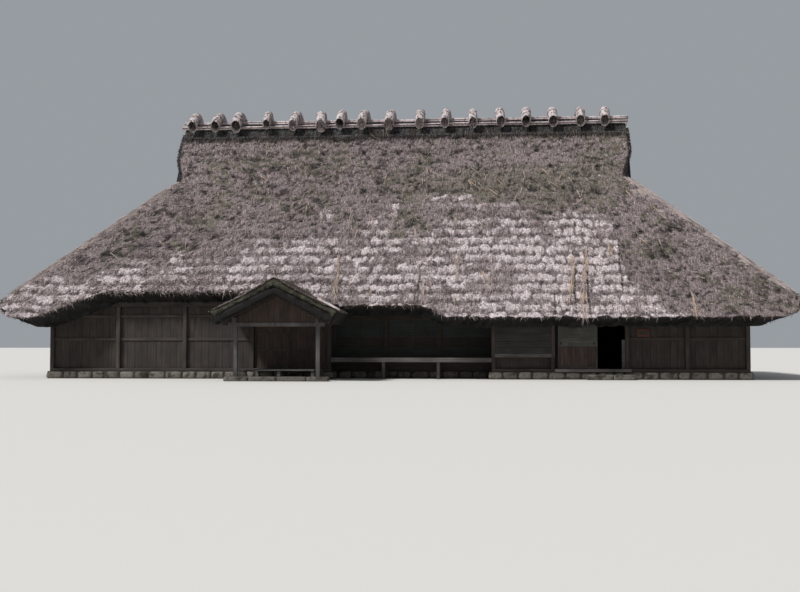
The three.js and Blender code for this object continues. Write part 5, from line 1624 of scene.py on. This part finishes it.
def addStudio():
    look, scene = studio, bpy.context.scene

    def place(name, data, spot=(0, 0, 0), turn=(0, 0, 0)):
        thing = bpy.data.objects.new(name, data)
        thing.location = spot
        thing.rotation_euler = [math.radians(angle) for angle in turn]
        scene.collection.objects.link(thing)
        return thing

    # a plain matt floor
    material, tree = newMaterial("studioFloor", 0.9, 1.5)
    tree.nodes["Principled BSDF"].inputs["Base Color"].default_value = linear(look["floor"])
    mesh = bpy.data.meshes.new("studioFloor")
    reach = look["floorReach"]
    corners = [(x * reach, y * reach, 0) for x, y in ((-1, -1), (1, -1), (1, 1), (-1, 1))]
    mesh.from_pydata(corners, [], [(0, 1, 2, 3)])
    mesh.materials.append(material)
    place("studioFloor", mesh, (0, 0, look["floorZ"]))

    world = scene.world = bpy.data.worlds.new("studioSky")
    world.use_nodes = True
    sky = world.node_tree.nodes["Background"]
    sky.inputs["Color"].default_value = linear(look["sky"])
    sky.inputs["Strength"].default_value = look["skyStrength"]
    sun = bpy.data.lights.new("softSun", "SUN")
    sun.energy, sun.angle = look["sunStrength"], math.radians(look["sunAngle"])
    place("softSun", sun, turn=(90 - look["sunHeight"], 0, -look["sunTurn"]))

    lens = bpy.data.cameras.new("view")
    lens.lens = look["lens"]
    lens.sensor_width = look["sensor"]
    lens.clip_end = look["sight"]
    scene.camera = place("view", lens, look["cameraPlace"], (90 + look["tilt"], 0, look["turn"]))
    scene.view_settings.view_transform = "Standard"


addStudio()
print("studio made")

reed = agedReed()
straw = looseStraw()
# the slopes with their axis, the side they lie on and the size of their cells
slopes = {
    "Front": ("thatch_front", "x", -1, 0.0535), "Back": ("thatch_back", "x", 1, 0.09),
    "Left": ("thatch_left_end", "y", -1, 0.078), "Right": ("thatch_right_end", "y", 1, 0.078),
}
surfaces = {where: addSlope(f"reedThatch{where}", *slope, reed, seed)
            for seed, (where, slope) in enumerate(slopes.items(), 11)}
for seed, (where, surface) in enumerate(surfaces.items(), 21):
    addSlopeStraws(f"looseStraw{where}", surface, strawLook["count"][where], straw, seed)
for seed, (where, surface) in enumerate(surfaces.items(), 31):
    addEaveStraws(f"eaveStraw{where}", surface, straw, seed)
addVergeStraws(straw)
addStreaks(straw)
print("thatch made")

bamboo = silverBamboo()
addRidgeCap(darkRidgeBark(), straw)
addPoles(bamboo)
addRolls(packedStraw(), straw)
addGableBoards()
print("ridge made")

addFrames()
addWalls()
addFooting(fieldStone())
print("walls made")

addVeranda()
addShutterBox()
addDoor()
addEntrance()
print("front made")

addPorchRoof(reed)
addPorchStraws(straw)
addPorchCane(bamboo)
addPorchWood()
print("porch made")

# frame pieces that show keep their shape and get the wood that runs their way
woodOf = {"porch_frame": "bleachedCedarUpright", "wall_plates": "weatheredDarkCedarAlongX",
          "screen_frame": "weatheredDarkCedarAlongX"}
for node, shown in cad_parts.items():
    if not shown.hide_render:
        shown.data.materials.clear()
        shown.data.materials.append(wood[woodOf.get(node, "weatheredDarkCedar")])
        shown.data.update()
